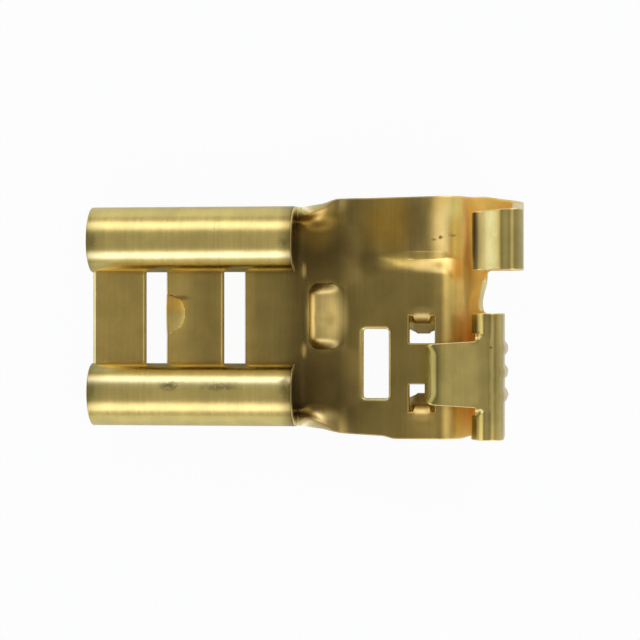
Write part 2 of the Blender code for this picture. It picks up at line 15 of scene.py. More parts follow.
import bmesh
import bpy
import numpy as np
from mathutils import Matrix, Vector
from mathutils.geometry import delaunay_2d_cdt


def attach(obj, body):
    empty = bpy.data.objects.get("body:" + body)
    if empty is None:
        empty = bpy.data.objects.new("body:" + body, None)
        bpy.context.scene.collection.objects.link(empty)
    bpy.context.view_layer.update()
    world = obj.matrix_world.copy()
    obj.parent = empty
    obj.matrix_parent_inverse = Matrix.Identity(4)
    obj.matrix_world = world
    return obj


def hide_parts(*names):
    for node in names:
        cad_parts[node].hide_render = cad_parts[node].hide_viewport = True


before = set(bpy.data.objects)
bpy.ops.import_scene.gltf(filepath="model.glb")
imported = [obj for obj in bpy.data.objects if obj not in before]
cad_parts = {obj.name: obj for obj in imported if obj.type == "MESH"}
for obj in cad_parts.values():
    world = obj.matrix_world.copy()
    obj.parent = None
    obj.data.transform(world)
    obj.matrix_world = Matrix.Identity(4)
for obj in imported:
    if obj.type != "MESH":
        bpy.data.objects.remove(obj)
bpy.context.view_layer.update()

MM = 0.001


def in_mm(values):
    """Lengths in millimetres, rounded for printing."""
    return [round(value / MM, 3) for value in values]


# %% [markdown]
# ## The camera
#
# The photograph looks straight down, with the rails along the picture. An orthographic camera
# would hide how high things stand. A long lens close to the part keeps the slight spread
# between the low floor and the high crimp barrel.

# %% Camera over the part
CAMERA_HEIGHT = 70.0
CAMERA_X = 0.50
CAMERA_Y = -0.137
LENS_MM = 109.43
SENSOR_WIDTH_MM = 36.0

camera_data = bpy.data.cameras.new("camera")
camera_data.sensor_width = SENSOR_WIDTH_MM
camera_data.lens = LENS_MM
camera_data.clip_start = MM
camera = bpy.data.objects.new("camera", camera_data)
camera.location = Vector((CAMERA_X, CAMERA_Y, CAMERA_HEIGHT)) * MM
bpy.context.scene.collection.objects.link(camera)
bpy.context.scene.camera = camera
bpy.context.scene.view_settings.view_transform = "Standard"
print("camera at", in_mm(camera.location), "mm")

# %% [markdown]
# ## Helpers for shader nodes
#
# A material is a small machine of nodes. By hand they are dragged into place in the shader
# editor. Here a few helpers keep the wiring short. They work on the node tree in hand, which
# is always called tree: one adds a node, one joins two sockets, and the others make a sum, a
# soft step, a band and a mix of colours.

# %% Node helpers
WHITE = (1.0, 1.0, 1.0, 1.0)
MIX_SHARE, MIX_FIRST, MIX_SECOND, MIX_RESULT = 0, 6, 7, 2  # sockets of a Mix node on colours


def add_node(kind, values=None, **settings):
    """A node of the tree in hand, with its settings and the values of its inputs."""
    node = tree.nodes.new("ShaderNode" + kind)
    for name, value in settings.items():
        setattr(node, name, value)
    for name, value in (values or {}).items():
        node.inputs[name].default_value = value
    return node


def join(start, end):
    """Joins an output socket to an input socket."""
    tree.links.new(start, end)


def math_node(operation, first, second=None, third=None):
    """A Math node on sockets or numbers; returns its output."""
    node = add_node("Math", operation=operation)
    for index, item in enumerate((first, second, third)):
        if item is None:
            continue
        if isinstance(item, (int, float)):
            node.inputs[index].default_value = item
        else:
            join(item, node.inputs[index])
    return node.outputs[0]


def fade(value, start, end, low=0.0, high=1.0):
    """A smooth step of a value between two limits; returns its output."""
    node = add_node("MapRange", interpolation_type="SMOOTHSTEP")
    join(value, node.inputs["Value"])
    for name, number in (("From Min", start), ("From Max", end), ("To Min", low), ("To Max", high)):
        node.inputs[name].default_value = number
    return node.outputs["Result"]


def band(value, rise, fall_off):
    """A band between two soft steps; returns its output."""
    return math_node("MULTIPLY", fade(value, *rise), fade(value, *fall_off))


def mixed(share, first, second, blend_type="MIX"):
    """Colour mix of two sockets or colours; returns its output."""
    node = add_node("Mix", data_type="RGBA", blend_type=blend_type)
    for index, item in ((MIX_SHARE, share), (MIX_FIRST, first), (MIX_SECOND, second)):
        if isinstance(item, bpy.types.NodeSocket):
            join(item, node.inputs[index])
        else:
            node.inputs[index].default_value = item
    return node.outputs[MIX_RESULT]


def end_in_white(surface, white, output_kind, share=1.0):
    """Ends a tree so that the camera sees a share of white in place of the surface."""
    rays = add_node("LightPath")
    mix = add_node("MixShader")
    join(math_node("MULTIPLY", rays.outputs["Is Camera Ray"], share), mix.inputs[0])
    join(surface, mix.inputs[1])
    join(white, mix.inputs[2])
    join(mix.outputs[0], add_node(output_kind).inputs["Surface"])


print("node helpers ready; white is", WHITE)

# %% [markdown]
# ## Light for a shiny part
#
# Metal shows its surroundings, so these are what gets designed. Area lamps would stand in the
# brass as hard panels, and the part lay in soft light. So the world lights it by nothing but
# the direction in which a ray leaves: dim straight up, where the camera is, two long soft
# lights to the sides at +Y and -Y, a lamp low over the crimp side at +X, and a light before
# the mouth at -X, where the plain level sinks. Rays straight from the camera see white
# instead.

# %% Light by direction
# Each rule: where along X or Y a soft step starts and ends, and its values there if not 0 and 1.
SIDE_RISE = (0.49, 0.77)
SIDE_FALL = (0.86, 0.95, 1.0, 0.10)
CRIMP_RISE = (0.10, 0.32)
CRIMP_FALL = (0.50, 0.66, 1.0, 0.2)
MOUTH_RISE = (-0.78, -0.91)
PLAIN_FALL = (-0.50, -0.85, 0.36, 0.18)
SIDE_LIGHT = 1.15
CRIMP_LIGHT = 0.70
MOUTH_LIGHT = 0.95
SIDE_TINT = (0.98, 1.0, 1.35, 1.0)

world = bpy.data.worlds.new("studio")
world.use_nodes = True
bpy.context.scene.world = world
tree = world.node_tree
tree.nodes.clear()
direction = add_node("TexCoord").outputs["Generated"]
parts = add_node("SeparateXYZ")
join(direction, parts.inputs[0])
to_crimp = parts.outputs["X"]
to_side = math_node("ABSOLUTE", parts.outputs["Y"])
side_lights = band(to_side, SIDE_RISE, SIDE_FALL)
crimp_lamp = band(to_crimp, CRIMP_RISE, CRIMP_FALL)
mouth_light = fade(to_crimp, *MOUTH_RISE)
level = fade(to_crimp, *PLAIN_FALL)
for light, strength in (
    (side_lights, SIDE_LIGHT),
    (crimp_lamp, CRIMP_LIGHT),
    (mouth_light, MOUTH_LIGHT),
):
    level = math_node("MULTIPLY_ADD", light, strength, level)
surround = add_node("Background")
join(mixed(side_lights, WHITE, SIDE_TINT), surround.inputs["Color"])
join(level, surround.inputs["Strength"])
plain = add_node("Background", {"Color": WHITE, "Strength": 1.0})
end_in_white(surround.outputs[0], plain.outputs[0], "OutputWorld")
print("world with", len(tree.nodes), "nodes: lights by direction, white to the camera")

# %% [markdown]
# ## The floor
#
# The part lies on white paper. A lamp that makes a grey plane look white would burn out the
# brass. So the plane keeps a diffuse share for the part's soft shadow, and the rest is a
# light of its own that only camera rays see.

# %% Floor
FLOOR_SIZE = 600.0
PAPER_COLOUR = (0.83, 0.87, 0.86, 1.0)
GLOW_SHARE = 0.95

bpy.ops.object.select_all(action="DESELECT")
bpy.ops.mesh.primitive_plane_add(size=FLOOR_SIZE * MM, location=(0.0, 0.0, 0.0))
floor = bpy.context.object
floor.name = "floor"
paper = bpy.data.materials.new("white_paper")
paper.use_nodes = True
tree = paper.node_tree
tree.nodes.clear()
matt = add_node("BsdfDiffuse", {"Color": PAPER_COLOUR})
glow = add_node("Emission", {"Color": WHITE, "Strength": 1.0})
end_in_white(matt.outputs[0], glow.outputs[0], "OutputMaterial", GLOW_SHARE)
floor.data.materials.append(paper)
print("floor", in_mm(floor.dimensions)[0], "mm wide")

# %% [markdown]
# ## Walking along a bent sheet
#
# Simple Deform modifiers could bend a strip, one for each fold in the right order. A list is
# easier to change. It follows the middle of the sheet: so much straight, then a bend with an
# inside radius and an angle. Walking a distance along it says where a point of the flat blank
# ends up. Middle lines don't stretch, so distances stay true.

# %% Folded profiles
STOCK = 0.40
LEAST_TURN = 1e-7  # per millimetre, so that a straight is walked as a bend is
SAMPLE_RADIUS = 0.50


def flat(length):
    """A straight stretch of a profile, as its length and its turn."""
    return (length, 0.0)


def bend(inside_radius, turn):
    """A bend, as the length of its middle line and its turn in degrees."""
    return ((inside_radius + STOCK / 2) * math.radians(abs(turn)), turn)


def run(profile, count=None):
    """Length of the first pieces of a profile, or of all."""
    return sum(length for length, _ in profile[:count])


def walk(profile, distance, share=1.0):
    """Places and headings after distances along a profile whose turns are scaled by a share."""
    along = np.zeros_like(distance)
    up = np.zeros_like(distance)
    heading = np.zeros_like(distance)
    left = distance.copy()
    for length, turn in profile:
        step = np.clip(left, 0.0, length)
        left = left - step
        rate = math.radians(turn) * share / length
        rate = np.where(np.abs(rate) < LEAST_TURN, LEAST_TURN, rate)
        after = heading + step * rate
        along += (np.sin(after) - np.sin(heading)) / rate
        up += (np.cos(heading) - np.cos(after)) / rate
        heading = after
    return along + left * np.cos(heading), up + left * np.sin(heading), heading


def smooth(start, end, value):
    """Smooth step from 0 at start to 1 at end."""
    share = np.clip((value - start) / (end - start), 0.0, 1.0)
    return share * share * (3.0 - 2.0 * share)


def between(rise, fall_off, value):
    """1 between two soft steps, 0 outside them."""
    return smooth(*rise, value) * (1.0 - smooth(*fall_off, value))


sample = run([bend(SAMPLE_RADIUS, 90.0)])
print("a square bend of", SAMPLE_RADIUS, "mm takes", round(sample, 2), "mm of sheet")

# %% [markdown]
# ## The receptacle
#
# Seen from its mouth the receptacle is a flat floor with a wall at each side, rolled over
# into a round rail whose lip presses on the tab. By hand this section would be drawn once and
# extruded. But along the neck the roll fades out to a low ear, folded a little nearer to the
# middle. So the section stays a list, and its bends turn by a smaller and smaller share
# there.

# %% Receptacle section
TAB_WIDTH = 6.30
TAB_THICKNESS = 0.80
TAB_SIDE_PLAY = 0.30
TAB_GRIP = 0.05
RAIL_LENGTH = 7.20
FLOOR_LEAD = 0.21
FLOOR_CORNER_RADIUS = 0.30
UPPER_CROWN_RADIUS = 0.75
LOWER_CROWN_RADIUS = 0.70
LIP_DROP = 0.10
UPPER_UNEVEN = 0.075
LOWER_UNEVEN = 0.12
EAR_HEIGHT = 0.77
EAR_END = 8.95
EAR_INSET = 0.15
EAR_INSET_FULL = 8.05

FLOOR_HALF = TAB_WIDTH / 2 + TAB_SIDE_PLAY - FLOOR_CORNER_RADIUS
LIP_HEIGHT = STOCK / 2 + TAB_THICKNESS - TAB_GRIP
WALL_HEIGHT = LIP_HEIGHT + LIP_DROP - FLOOR_CORNER_RADIUS - STOCK / 2


def rail_section(crown_radius, uneven):
    """Half of the receptacle's cross-section; an uneven crown is rounder outside than inside."""
    return [
        flat(FLOOR_HALF),
        bend(FLOOR_CORNER_RADIUS, 90.0),
        flat(WALL_HEIGHT - 2 * uneven),
        bend(crown_radius + uneven, 90.0),
        bend(crown_radius - uneven, 90.0),
        flat(LIP_DROP),
    ]


UPPER_SECTION = rail_section(UPPER_CROWN_RADIUS, UPPER_UNEVEN)
LOWER_SECTION = rail_section(LOWER_CROWN_RADIUS, LOWER_UNEVEN)


def crosswise(s, v):
    """Place across the receptacle and height over its floor, for points of the blank."""
    roll = 1.0 - smooth(RAIL_LENGTH, EAR_END, s)
    inset = EAR_INSET * smooth(RAIL_LENGTH, EAR_INSET_FULL, s)
    upper, upper_height, _ = walk(UPPER_SECTION, np.abs(v) + inset, roll)
    lower, lower_height, _ = walk(LOWER_SECTION, np.abs(v) + inset, roll)
    across = np.where(v > 0.0, upper - inset, inset - lower)
    return across, np.where(v > 0.0, upper_height, lower_height)


print("sheet in one rail:", round(run(UPPER_SECTION) - FLOOR_HALF, 2), "mm")

# %% [markdown]
# ## The neck
#
# Behind the rails the sheet climbs a short ramp to the plate. By hand this is a row of edges
# moved up and bevelled. As a list it is two equal bends, up and back, and the straight between
# them is just as long as the rise still needs.

# %% Neck
RAMP_START = 7.20
RAMP_RISE = 0.80
RAMP_ANGLE = 24.0
RAMP_RADIUS = 0.90


def fall(inside_radius, from_angle, to_angle):
    """Height lost in a bend between two downward angles."""
    mid_radius = inside_radius + STOCK / 2
    return mid_radius * abs(math.cos(math.radians(from_angle)) - math.cos(math.radians(to_angle)))


def fallen(height, angle):
    """A straight stretch that loses a height on a slope."""
    return flat(height / math.sin(math.radians(angle)))


NECK = [
    flat(RAMP_START),
    bend(RAMP_RADIUS, RAMP_ANGLE),
    fallen(RAMP_RISE - 2 * fall(RAMP_RADIUS, 0.0, RAMP_ANGLE), RAMP_ANGLE),
    bend(RAMP_RADIUS, -RAMP_ANGLE),
]
print("the neck ends after", round(run(NECK), 2), "mm of sheet")

# %% [markdown]
# ## The wire barrel
#
# The barrel for the bare wire is narrow: a tight shoulder, a steep wall, a small bore, and up
# again into a flat flange and the lock tab. Each extrusion that a hand would make is one line
# of the list. Only the depth of the barrel is given; the straight walls follow from it.

# %% Wire barrel
PLATE_LENGTH = 2.76
SHOULDER_RADIUS = 0.45
SHOULDER_TURN = 82.0
BARREL_DEPTH = 2.30
WIRE_BORE_RADIUS = 0.415
WIRE_WING_RISE = 0.70
WIRE_WING_RADIUS = 0.12
FLANGE_WIDTH = 0.42
LOCK_LENGTH = 1.31
LOCK_TIP_RADIUS = 0.06
LOCK_TIP_TURN = 90.0

wire_wall_fall = (
    BARREL_DEPTH
    - fall(SHOULDER_RADIUS, 0.0, SHOULDER_TURN)
    - fall(WIRE_BORE_RADIUS, 0.0, SHOULDER_TURN)
)
WIRE_FAR_WALL = BARREL_DEPTH + WIRE_WING_RISE - WIRE_BORE_RADIUS - WIRE_WING_RADIUS - STOCK
WIRE = NECK + [
    flat(PLATE_LENGTH),
    bend(SHOULDER_RADIUS, -SHOULDER_TURN),
    fallen(wire_wall_fall, SHOULDER_TURN),
    bend(WIRE_BORE_RADIUS, SHOULDER_TURN),
    bend(WIRE_BORE_RADIUS, 90.0),
    flat(WIRE_FAR_WALL),
    bend(WIRE_WING_RADIUS, 90.0),
    flat(FLANGE_WIDTH),
    flat(LOCK_LENGTH),
    bend(LOCK_TIP_RADIUS, LOCK_TIP_TURN),
]
WIRE_SHOULDER, WIRE_WALL_TOP, WIRE_WALL_FOOT, WIRE_BOTTOM, WIRE_BORE_END = [
    run(WIRE, count) for count in range(5, 10)
]
WIRE_BEND_END, WIRE_EDGE, LOCK_END = run(WIRE, 11), run(WIRE, 12), run(WIRE)
print("blank is", round(LOCK_END, 2), "mm long at the lock tab")

# %% [markdown]
# ## The insulation barrel
#
# The barrel for the insulation is wider and starts earlier: a long easy slope, a brink, a
# steep funnel, and a bore tighter on the near side than on the far one. Its wing leans over
# with a crease, a flat facet and a hooked tip. A traced curve would do it too, but here one
# number moves a crease, and all that follows stays true to length.

# %% Insulation barrel
SLOPE_FLAT = 0.29
SLOPE_RADIUS = 2.00
SLOPE_TURN = 8.0
SLOPE_LENGTH = 1.73
BRINK_RADIUS = 2.20
BRINK_TURN = 18.0
FUNNEL_RADIUS = 0.30
FUNNEL_TURN = 49.0
NEAR_BORE_RADIUS = 0.62
FAR_BORE_RADIUS = 0.95
INSULATION_WING_RISE = 1.10
INSULATION_WING_RADIUS = 0.10
INSULATION_WING_FLAT = 0.02
CREASE_RADIUS = 0.15
CREASE_TURN = 26.0
FACET_LENGTH = 0.70
INSULATION_TIP_RADIUS = 0.30
INSULATION_TIP_TURN = 50.0

brink = SLOPE_TURN + BRINK_TURN
steep = brink + FUNNEL_TURN
insulation_wall_fall = (
    BARREL_DEPTH
    - fall(SLOPE_RADIUS, 0.0, SLOPE_TURN)
    - SLOPE_LENGTH * math.sin(math.radians(SLOPE_TURN))
    - fall(BRINK_RADIUS, SLOPE_TURN, brink)
    - fall(FUNNEL_RADIUS, brink, steep)
    - fall(NEAR_BORE_RADIUS, 0.0, steep)
)
insulation_far_wall = (
    BARREL_DEPTH + INSULATION_WING_RISE - FAR_BORE_RADIUS - INSULATION_WING_RADIUS - STOCK
)
INSULATION = NECK + [
    flat(SLOPE_FLAT),
    bend(SLOPE_RADIUS, -SLOPE_TURN),
    flat(SLOPE_LENGTH),
    bend(BRINK_RADIUS, -BRINK_TURN),
    bend(FUNNEL_RADIUS, -FUNNEL_TURN),
    fallen(insulation_wall_fall, steep),
    bend(NEAR_BORE_RADIUS, steep),
    bend(FAR_BORE_RADIUS, 90.0),
    flat(insulation_far_wall),
    bend(INSULATION_WING_RADIUS, 90.0),
    flat(INSULATION_WING_FLAT),
    bend(CREASE_RADIUS, CREASE_TURN),
    flat(FACET_LENGTH),
    bend(INSULATION_TIP_RADIUS, INSULATION_TIP_TURN),
]
SLOPE_START, INSULATION_BOTTOM = run(INSULATION, 5), run(INSULATION, 11)
INSULATION_WALL_END, INSULATION_BEND_END = run(INSULATION, 13), run(INSULATION, 14)
FACET_END, INSULATION_END = run(INSULATION, 17), run(INSULATION)
print("blank is", round(INSULATION_END, 2), "mm long at the insulation wing")

# %% [markdown]
# ## From one barrel to the other
#
# Both barrels are one sheet, and between them it is drawn into a step. Two edge loops could be
# bridged by hand, but the step starts narrow in the plate and widens towards the barrels. So
# every point takes a share of each profile, and the limits of that share move along the part.

# %% Step between the barrels
INSULATION_LOW_ROOT = 1.64
INSULATION_LOW_TIP = 1.56
WIRE_WING_TOP = 0.10
STEP_TOP = 2.10
STEP_BOTTOM = 1.32
STEP_START = 9.90
STEP_FULL = 11.20
STEP_NARROWEST = 0.08
NOTCH_RADIUS = 0.14


def lengthwise(s, v):
    """Place and heading in the XZ plane, for points of the blank."""
    along = smooth(WIRE_SHOULDER, WIRE_BOTTOM, s)
    widening = np.clip((s - STEP_START) / (STEP_FULL - STEP_START), STEP_NARROWEST, 1.0)
    low = STEP_TOP + (STEP_BOTTOM - STEP_TOP) * widening
    low = low + (WIRE_WING_TOP + NOTCH_RADIUS - low) * along
    high = STEP_TOP + (INSULATION_LOW_TIP - STEP_TOP) * along
    share = smooth(low, high, v)
    wire = walk(WIRE, s)
    insulation = walk(INSULATION, s)
    return [a + (b - a) * share for a, b in zip(wire, insulation)]


print("the step widens to", round(STEP_TOP - STEP_BOTTOM, 2), "mm in the plate")

# %% [markdown]
# ## What is pressed into the sheet
#
# Small tools press a half dimple into the floor, a stop pad into the neck and three ribs into
# the wire barrel. A sculpting brush or a displacement texture could raise them. Each is a
# height added to the sheet here, as a function of the place on the blank, so that it keeps its
# size and its soft flanks whatever the folds do.

# %% Dimple, stop pad and ribs
SLOT_LENGTH = 4.40
SLOT_WIDTH = 0.80
FRONT_SLOT_START = 1.69
REAR_SLOT_START = 4.51
SLOT_CORNER_RADIUS = 0.06
DIMPLE_RADIUS = 0.66
DIMPLE_HEIGHT = 0.10
DIMPLE_OFFSET = 0.10
STOP_START = 7.76
STOP_LENGTH = 1.42
STOP_WIDTH = 2.24
STOP_HEIGHT = 0.46
STOP_FLANK = 0.42
DENT_DEPTH = 0.045
DENT_RADIUS = 0.36
DENT_PLACE = (8.42, -0.10)
RIB_COUNT = 3
RIB_PITCH = 0.82
RIB_FIRST = -1.12
RIB_WIDTH = 0.42
RIB_HEIGHT = 0.13


def dimple_height(s, v):
    """Half dome at the edge of the bridge between the slots."""
    edge = FRONT_SLOT_START + SLOT_WIDTH
    reach = 1.0 - ((s - edge) ** 2 + (v - DIMPLE_OFFSET) ** 2) / DIMPLE_RADIUS ** 2
    return np.where(s > edge - SLOT_WIDTH / 2, DIMPLE_HEIGHT * np.maximum(reach, 0.0), 0.0)


def stop_height(s, v):
    """Pillow pressed up out of the neck, highest towards the mouth, with a dent in its top."""
    from_start = s - STOP_START
    to_end = STOP_START + STOP_LENGTH - s
    along = smooth(0.0, STOP_FLANK, from_start) * smooth(0.0, STOP_LENGTH - STOP_FLANK, to_end)
    pillow = STOP_HEIGHT * along * smooth(0.0, STOP_FLANK, STOP_WIDTH / 2 - np.abs(v))
    from_dent = np.hypot(s - DENT_PLACE[0], v - DENT_PLACE[1])
    return pillow - DENT_DEPTH * (1.0 - smooth(0.0, DENT_RADIUS, from_dent))


def rib_depth(s, v):
    """Ribs pressed outwards round the wire barrel."""
    depth = np.zeros_like(s)
    for rib in range(RIB_COUNT):
        depth += 1.0 - smooth(0.0, RIB_WIDTH / 2, np.abs(v - RIB_FIRST + rib * RIB_PITCH))
    rise = smooth(WIRE_WALL_TOP, WIRE_WALL_FOOT, s)
    fading = 1.0 - smooth(WIRE_BORE_END + WIRE_FAR_WALL / 2, WIRE_BEND_END, s)
    return RIB_HEIGHT * depth * rise * fading


print(RIB_COUNT, "ribs,", RIB_PITCH, "mm apart; stop pad", STOP_LENGTH, "by", STOP_WIDTH, "mm")

# %% [markdown]
# ## Marks of the forming tools
#
# The forming punch left a low lip along the upper edge of the step, and dragged the free edges
# of the wire barrel's flange down beside the lock tab. Proportional editing would pull such
# edges about by eye. As heights with named limits they stay where the tools struck.

# %% Step lip and flange curl
STEP_LIP_PLACE = 2.12
STEP_LIP_WIDTH = 0.15
STEP_LIP_HEIGHT = 0.034
STEP_LIP_RISE = (10.2, 11.8)
STEP_LIP_FALL = (12.3, 12.9)
LOCK_TOP = -0.86
LOCK_BOTTOM = -3.14
FLANGE_CURL_REACH = 0.46
FLANGE_CURL_DROP = 0.54
FLANGE_CURL_RISE = (0.02, 0.25)
FLANGE_CURL_POWER = 2.4


def step_lip(s, v):
    """Low ridge that the forming punch left along the upper edge of the step."""
    across = 1.0 - smooth(0.0, STEP_LIP_WIDTH, np.abs(v - STEP_LIP_PLACE))
    return STEP_LIP_HEIGHT * across * between(STEP_LIP_RISE, STEP_LIP_FALL, s)


def flange_curl(s, v):
    """How far the free edge of the wire barrel's flange is curled down beside the lock tab."""
    from_lock = np.abs(v - (LOCK_TOP + LOCK_BOTTOM) / 2) - (LOCK_TOP - LOCK_BOTTOM) / 2
    reach = np.clip((s - WIRE_EDGE) / FLANGE_CURL_REACH + 1.0, 0.0, 1.0)
    drop = FLANGE_CURL_DROP * smooth(*FLANGE_CURL_RISE, from_lock) * reach ** FLANGE_CURL_POWER
    on_wire = (v < WIRE_WING_TOP + NOTCH_RADIUS) & (s < WIRE_EDGE + NOTCH_RADIUS)
    return np.where(on_wire, drop, 0.0)


print("flange curls down by up to", FLANGE_CURL_DROP, "mm")

# %% [markdown]
# ## The lances
#
# Two lances are cut free of the plate on three sides and bent down, to hold the part in its
# housing. By hand each would be a strip of faces, cut loose and turned about an edge. The real
# ones roll over a wide, arched bend, so here each row of a lance is bent round its own point
# of an arched hinge.

# %% Lances
LANCE_START = 11.35
LANCE_WIDTH = 0.89
LANCE_LENGTH = 0.98
LANCE_SPREAD = 3.38
LANCE_ANGLE = 62.0
LANCE_RADIUS = 0.32
LANCE_ARCH = 0.28
LANCE_ARCH_POWER = 6
SHEAR_GAP = 0.04
WINDOW_CENTRE = -1.65


def lance_root(side):
    """Edge at which a lance is hinged; side is 1 for the upper lance, -1 for the lower."""
    return WINDOW_CENTRE + side * LANCE_SPREAD / 2


def lance_hinge(s, side):
    """Place across the plate of the arched line round which a lance is bent."""
    from_middle = np.abs(s - LANCE_START - LANCE_WIDTH / 2) / (LANCE_WIDTH / 2)
    return lance_root(side) + side * LANCE_ARCH * (1.0 - from_middle ** LANCE_ARCH_POWER)


def lance_shift(s, v):
    """How far each point of a lance moves across the plate and down."""
    shift = np.zeros_like(s)
    drop = np.zeros_like(s)
    to_side = LANCE_WIDTH / 2 - np.abs(s - LANCE_START - LANCE_WIDTH / 2)
    for side in (1, -1):
        reach = (lance_hinge(s, side) - v) * side
        to_tip = LANCE_LENGTH - (lance_root(side) - v) * side
        inside = (np.minimum(to_tip, to_side) > SHEAR_GAP / 2) & (reach > 0.0)
        along, down, _ = walk([bend(LANCE_RADIUS, LANCE_ANGLE)], np.where(inside, reach, 0.0))
        shift += np.where(inside, side * (reach - along), 0.0)
        drop += np.where(inside, down, 0.0)
    return shift, drop


print("lances", LANCE_WIDTH, "by", LANCE_LENGTH, "mm, hinged", LANCE_SPREAD, "mm apart")

# %% [markdown]
# ## Through every fold
#
# The lengthwise profile says where a point of the blank lies in side view and how the sheet
# slopes there; section, pressed heights and lances then move it square to that slope. Shape
# keys could hold the flat and the folded state too, but a function also says which way the
# sheet faces, and the thickness needs that.

# %% Folding a point
FACING_STEP = 0.004


def formed(s, v):
    """Carries points of the flat blank through every fold, to the middle of the sheet, in mm."""
    x, z, heading = lengthwise(s, v)
    y, height = crosswise(s, v)
    shift, drop = lance_shift(s, v)
    height = height + dimple_height(s, v) + stop_height(s, v) - rib_depth(s, v) - drop
    height = height + step_lip(s, v) + flange_curl(s, v)
    x, z = x - np.sin(heading) * height, z + np.cos(heading) * height
    return np.stack([x, y + shift, z], axis=-1)


def facing(s, v):
    """Direction in which the sheet faces at points of the blank, from small steps on it."""
    along = formed(s + FACING_STEP, v) - formed(s - FACING_STEP, v)
    across = formed(s, v + FACING_STEP) - formed(s, v - FACING_STEP)
    normal = np.cross(along, across)
    return normal / np.linalg.norm(normal, axis=-1, keepdims=True)


plate_middle = formed(np.array([(LANCE_START + WIRE_SHOULDER) / 2]), np.array([0.0]))
print("the plate lies", round(float(plate_middle[0, 2]), 2), "mm over the receptacle's floor")

# %% [markdown]
# ## The flat blank
#
# The cutting tool's outline is a list of corners, each with its radius. By hand it would be
# drawn as a polygon and bevelled corner by corner; the list keeps every corner's place and
# radius in sight. Slots, window and the two lances are further outlines inside it.

# %% Drawing an outline
CORNER_STEP = 20.0
FLATTEST_CORNER = 88.0
LONGEST_SETBACK = 0.48


def rounded(corners):
    """A closed outline of straight sides whose corners (s, v, radius) become arcs."""
    points = []
    for index, (s, v, radius) in enumerate(corners):
        here = Vector((s, v))
        before = Vector(corners[index - 1][:2]) - here
        after = Vector(corners[(index + 1) % len(corners)][:2]) - here
        half_turn = before.angle(after) / 2
        if radius <= 0.0 or half_turn > math.radians(FLATTEST_CORNER):
            points.append(here)
            continue
        longest = LONGEST_SETBACK * min(before.length, after.length)
        setback = min(radius / math.tan(half_turn), longest)
        middle = (before.normalized() + after.normalized()).normalized()
        centre = here + middle * setback / math.cos(half_turn)
        first = here + before.normalized() * setback - centre
        sweep = first.angle_signed(here + after.normalized() * setback - centre)
        steps = max(2, round(math.degrees(abs(sweep)) / CORNER_STEP))
        for i in range(steps + 1):
            points.append(centre + Matrix.Rotation(-sweep * i / steps, 2) @ first)
    return points


print("a square corner is drawn in", round(90.0 / CORNER_STEP), "steps")

# %% [markdown]
# The outer outline runs round the blank from the lower rail's lip: along the lower side, round
# the lock tab and the notch between the wings, round the insulation wing, and back.

# %% Outline
PLATE_TOP = 4.11
PLATE_BOTTOM = 4.06
PLATE_BOTTOM_WIDE = 4.26
PLATE_WIDENING_START = 10.45
PLATE_WIDENING_END = 10.80
FLARE_START = 8.32
FLARE_END = 8.68
LOCK_TAPER = 0.10
LOCK_CORNER_RADIUS = 0.38
INSULATION_FLARE = 0.17
INSULATION_TIP_TOP = 3.58
INSULATION_WALL_TOP = 3.68
NOTCH_WIRE_REACH = 0.06
NOTCH_INSULATION_REACH = 0.00
SHARP_FILLET = 0.06
EAR_FILLET = 0.10
NECK_FILLET = 0.60
SHOULDER_FILLET = 0.45
SLOPE_FILLET = 2.00
TOP_FILLET = 1.50

ear = FLOOR_HALF + EAR_HEIGHT
crown = run(UPPER_SECTION, 3)
upper_lip = run(UPPER_SECTION)
lower_lip = run(LOWER_SECTION)
OUTLINE = rounded([
    (0.0, -lower_lip, SHARP_FILLET),
    (RAIL_LENGTH, -lower_lip, SHARP_FILLET),
    (RAIL_LENGTH, -ear, EAR_FILLET),
    (FLARE_START, -ear, NECK_FILLET),
    (FLARE_END, -PLATE_BOTTOM, NECK_FILLET),
    (PLATE_WIDENING_START, -(PLATE_BOTTOM + PLATE_BOTTOM_WIDE) / 2, NECK_FILLET),
    (PLATE_WIDENING_END, -PLATE_BOTTOM_WIDE, NECK_FILLET),
    (WIRE_EDGE, -PLATE_BOTTOM_WIDE, SHARP_FILLET),
    (WIRE_EDGE, LOCK_BOTTOM, SHARP_FILLET),
    (LOCK_END, LOCK_BOTTOM + LOCK_TAPER, LOCK_CORNER_RADIUS),
    (LOCK_END, LOCK_TOP - LOCK_TAPER, LOCK_CORNER_RADIUS),
    (WIRE_EDGE, LOCK_TOP, SHARP_FILLET),
    (WIRE_EDGE, WIRE_WING_TOP, SHARP_FILLET),
    (WIRE_BOTTOM + NOTCH_WIRE_REACH, WIRE_WING_TOP, NOTCH_RADIUS),
    (INSULATION_BOTTOM + NOTCH_INSULATION_REACH, INSULATION_LOW_ROOT, NOTCH_RADIUS),
    (INSULATION_END, INSULATION_LOW_TIP, SHARP_FILLET),
    (INSULATION_END, INSULATION_TIP_TOP, SHARP_FILLET),
    (INSULATION_WALL_END, INSULATION_WALL_TOP, TOP_FILLET),
    (INSULATION_BOTTOM, PLATE_TOP + INSULATION_FLARE, TOP_FILLET),
    (SLOPE_START, PLATE_TOP, SLOPE_FILLET),
    (FLARE_END, PLATE_TOP, SHOULDER_FILLET),
    (FLARE_START, ear, NECK_FILLET),
    (RAIL_LENGTH, ear, EAR_FILLET),
    (RAIL_LENGTH, upper_lip, SHARP_FILLET),
    (0.0, upper_lip, SHARP_FILLET),
    (0.0, crown, NECK_FILLET),
    (-FLOOR_LEAD, FLOOR_HALF, NECK_FILLET),
    (-FLOOR_LEAD, -FLOOR_HALF, NECK_FILLET),
    (0.0, -crown, NECK_FILLET),
])
print("outline of", len(OUTLINE), "points, notch", NOTCH_RADIUS, "mm in radius")

# %% [markdown]
# The holes are the two cross slots of the floor, the window through which the seat of the wire
# is looked at, and the narrow U-shaped cuts that free the lances.

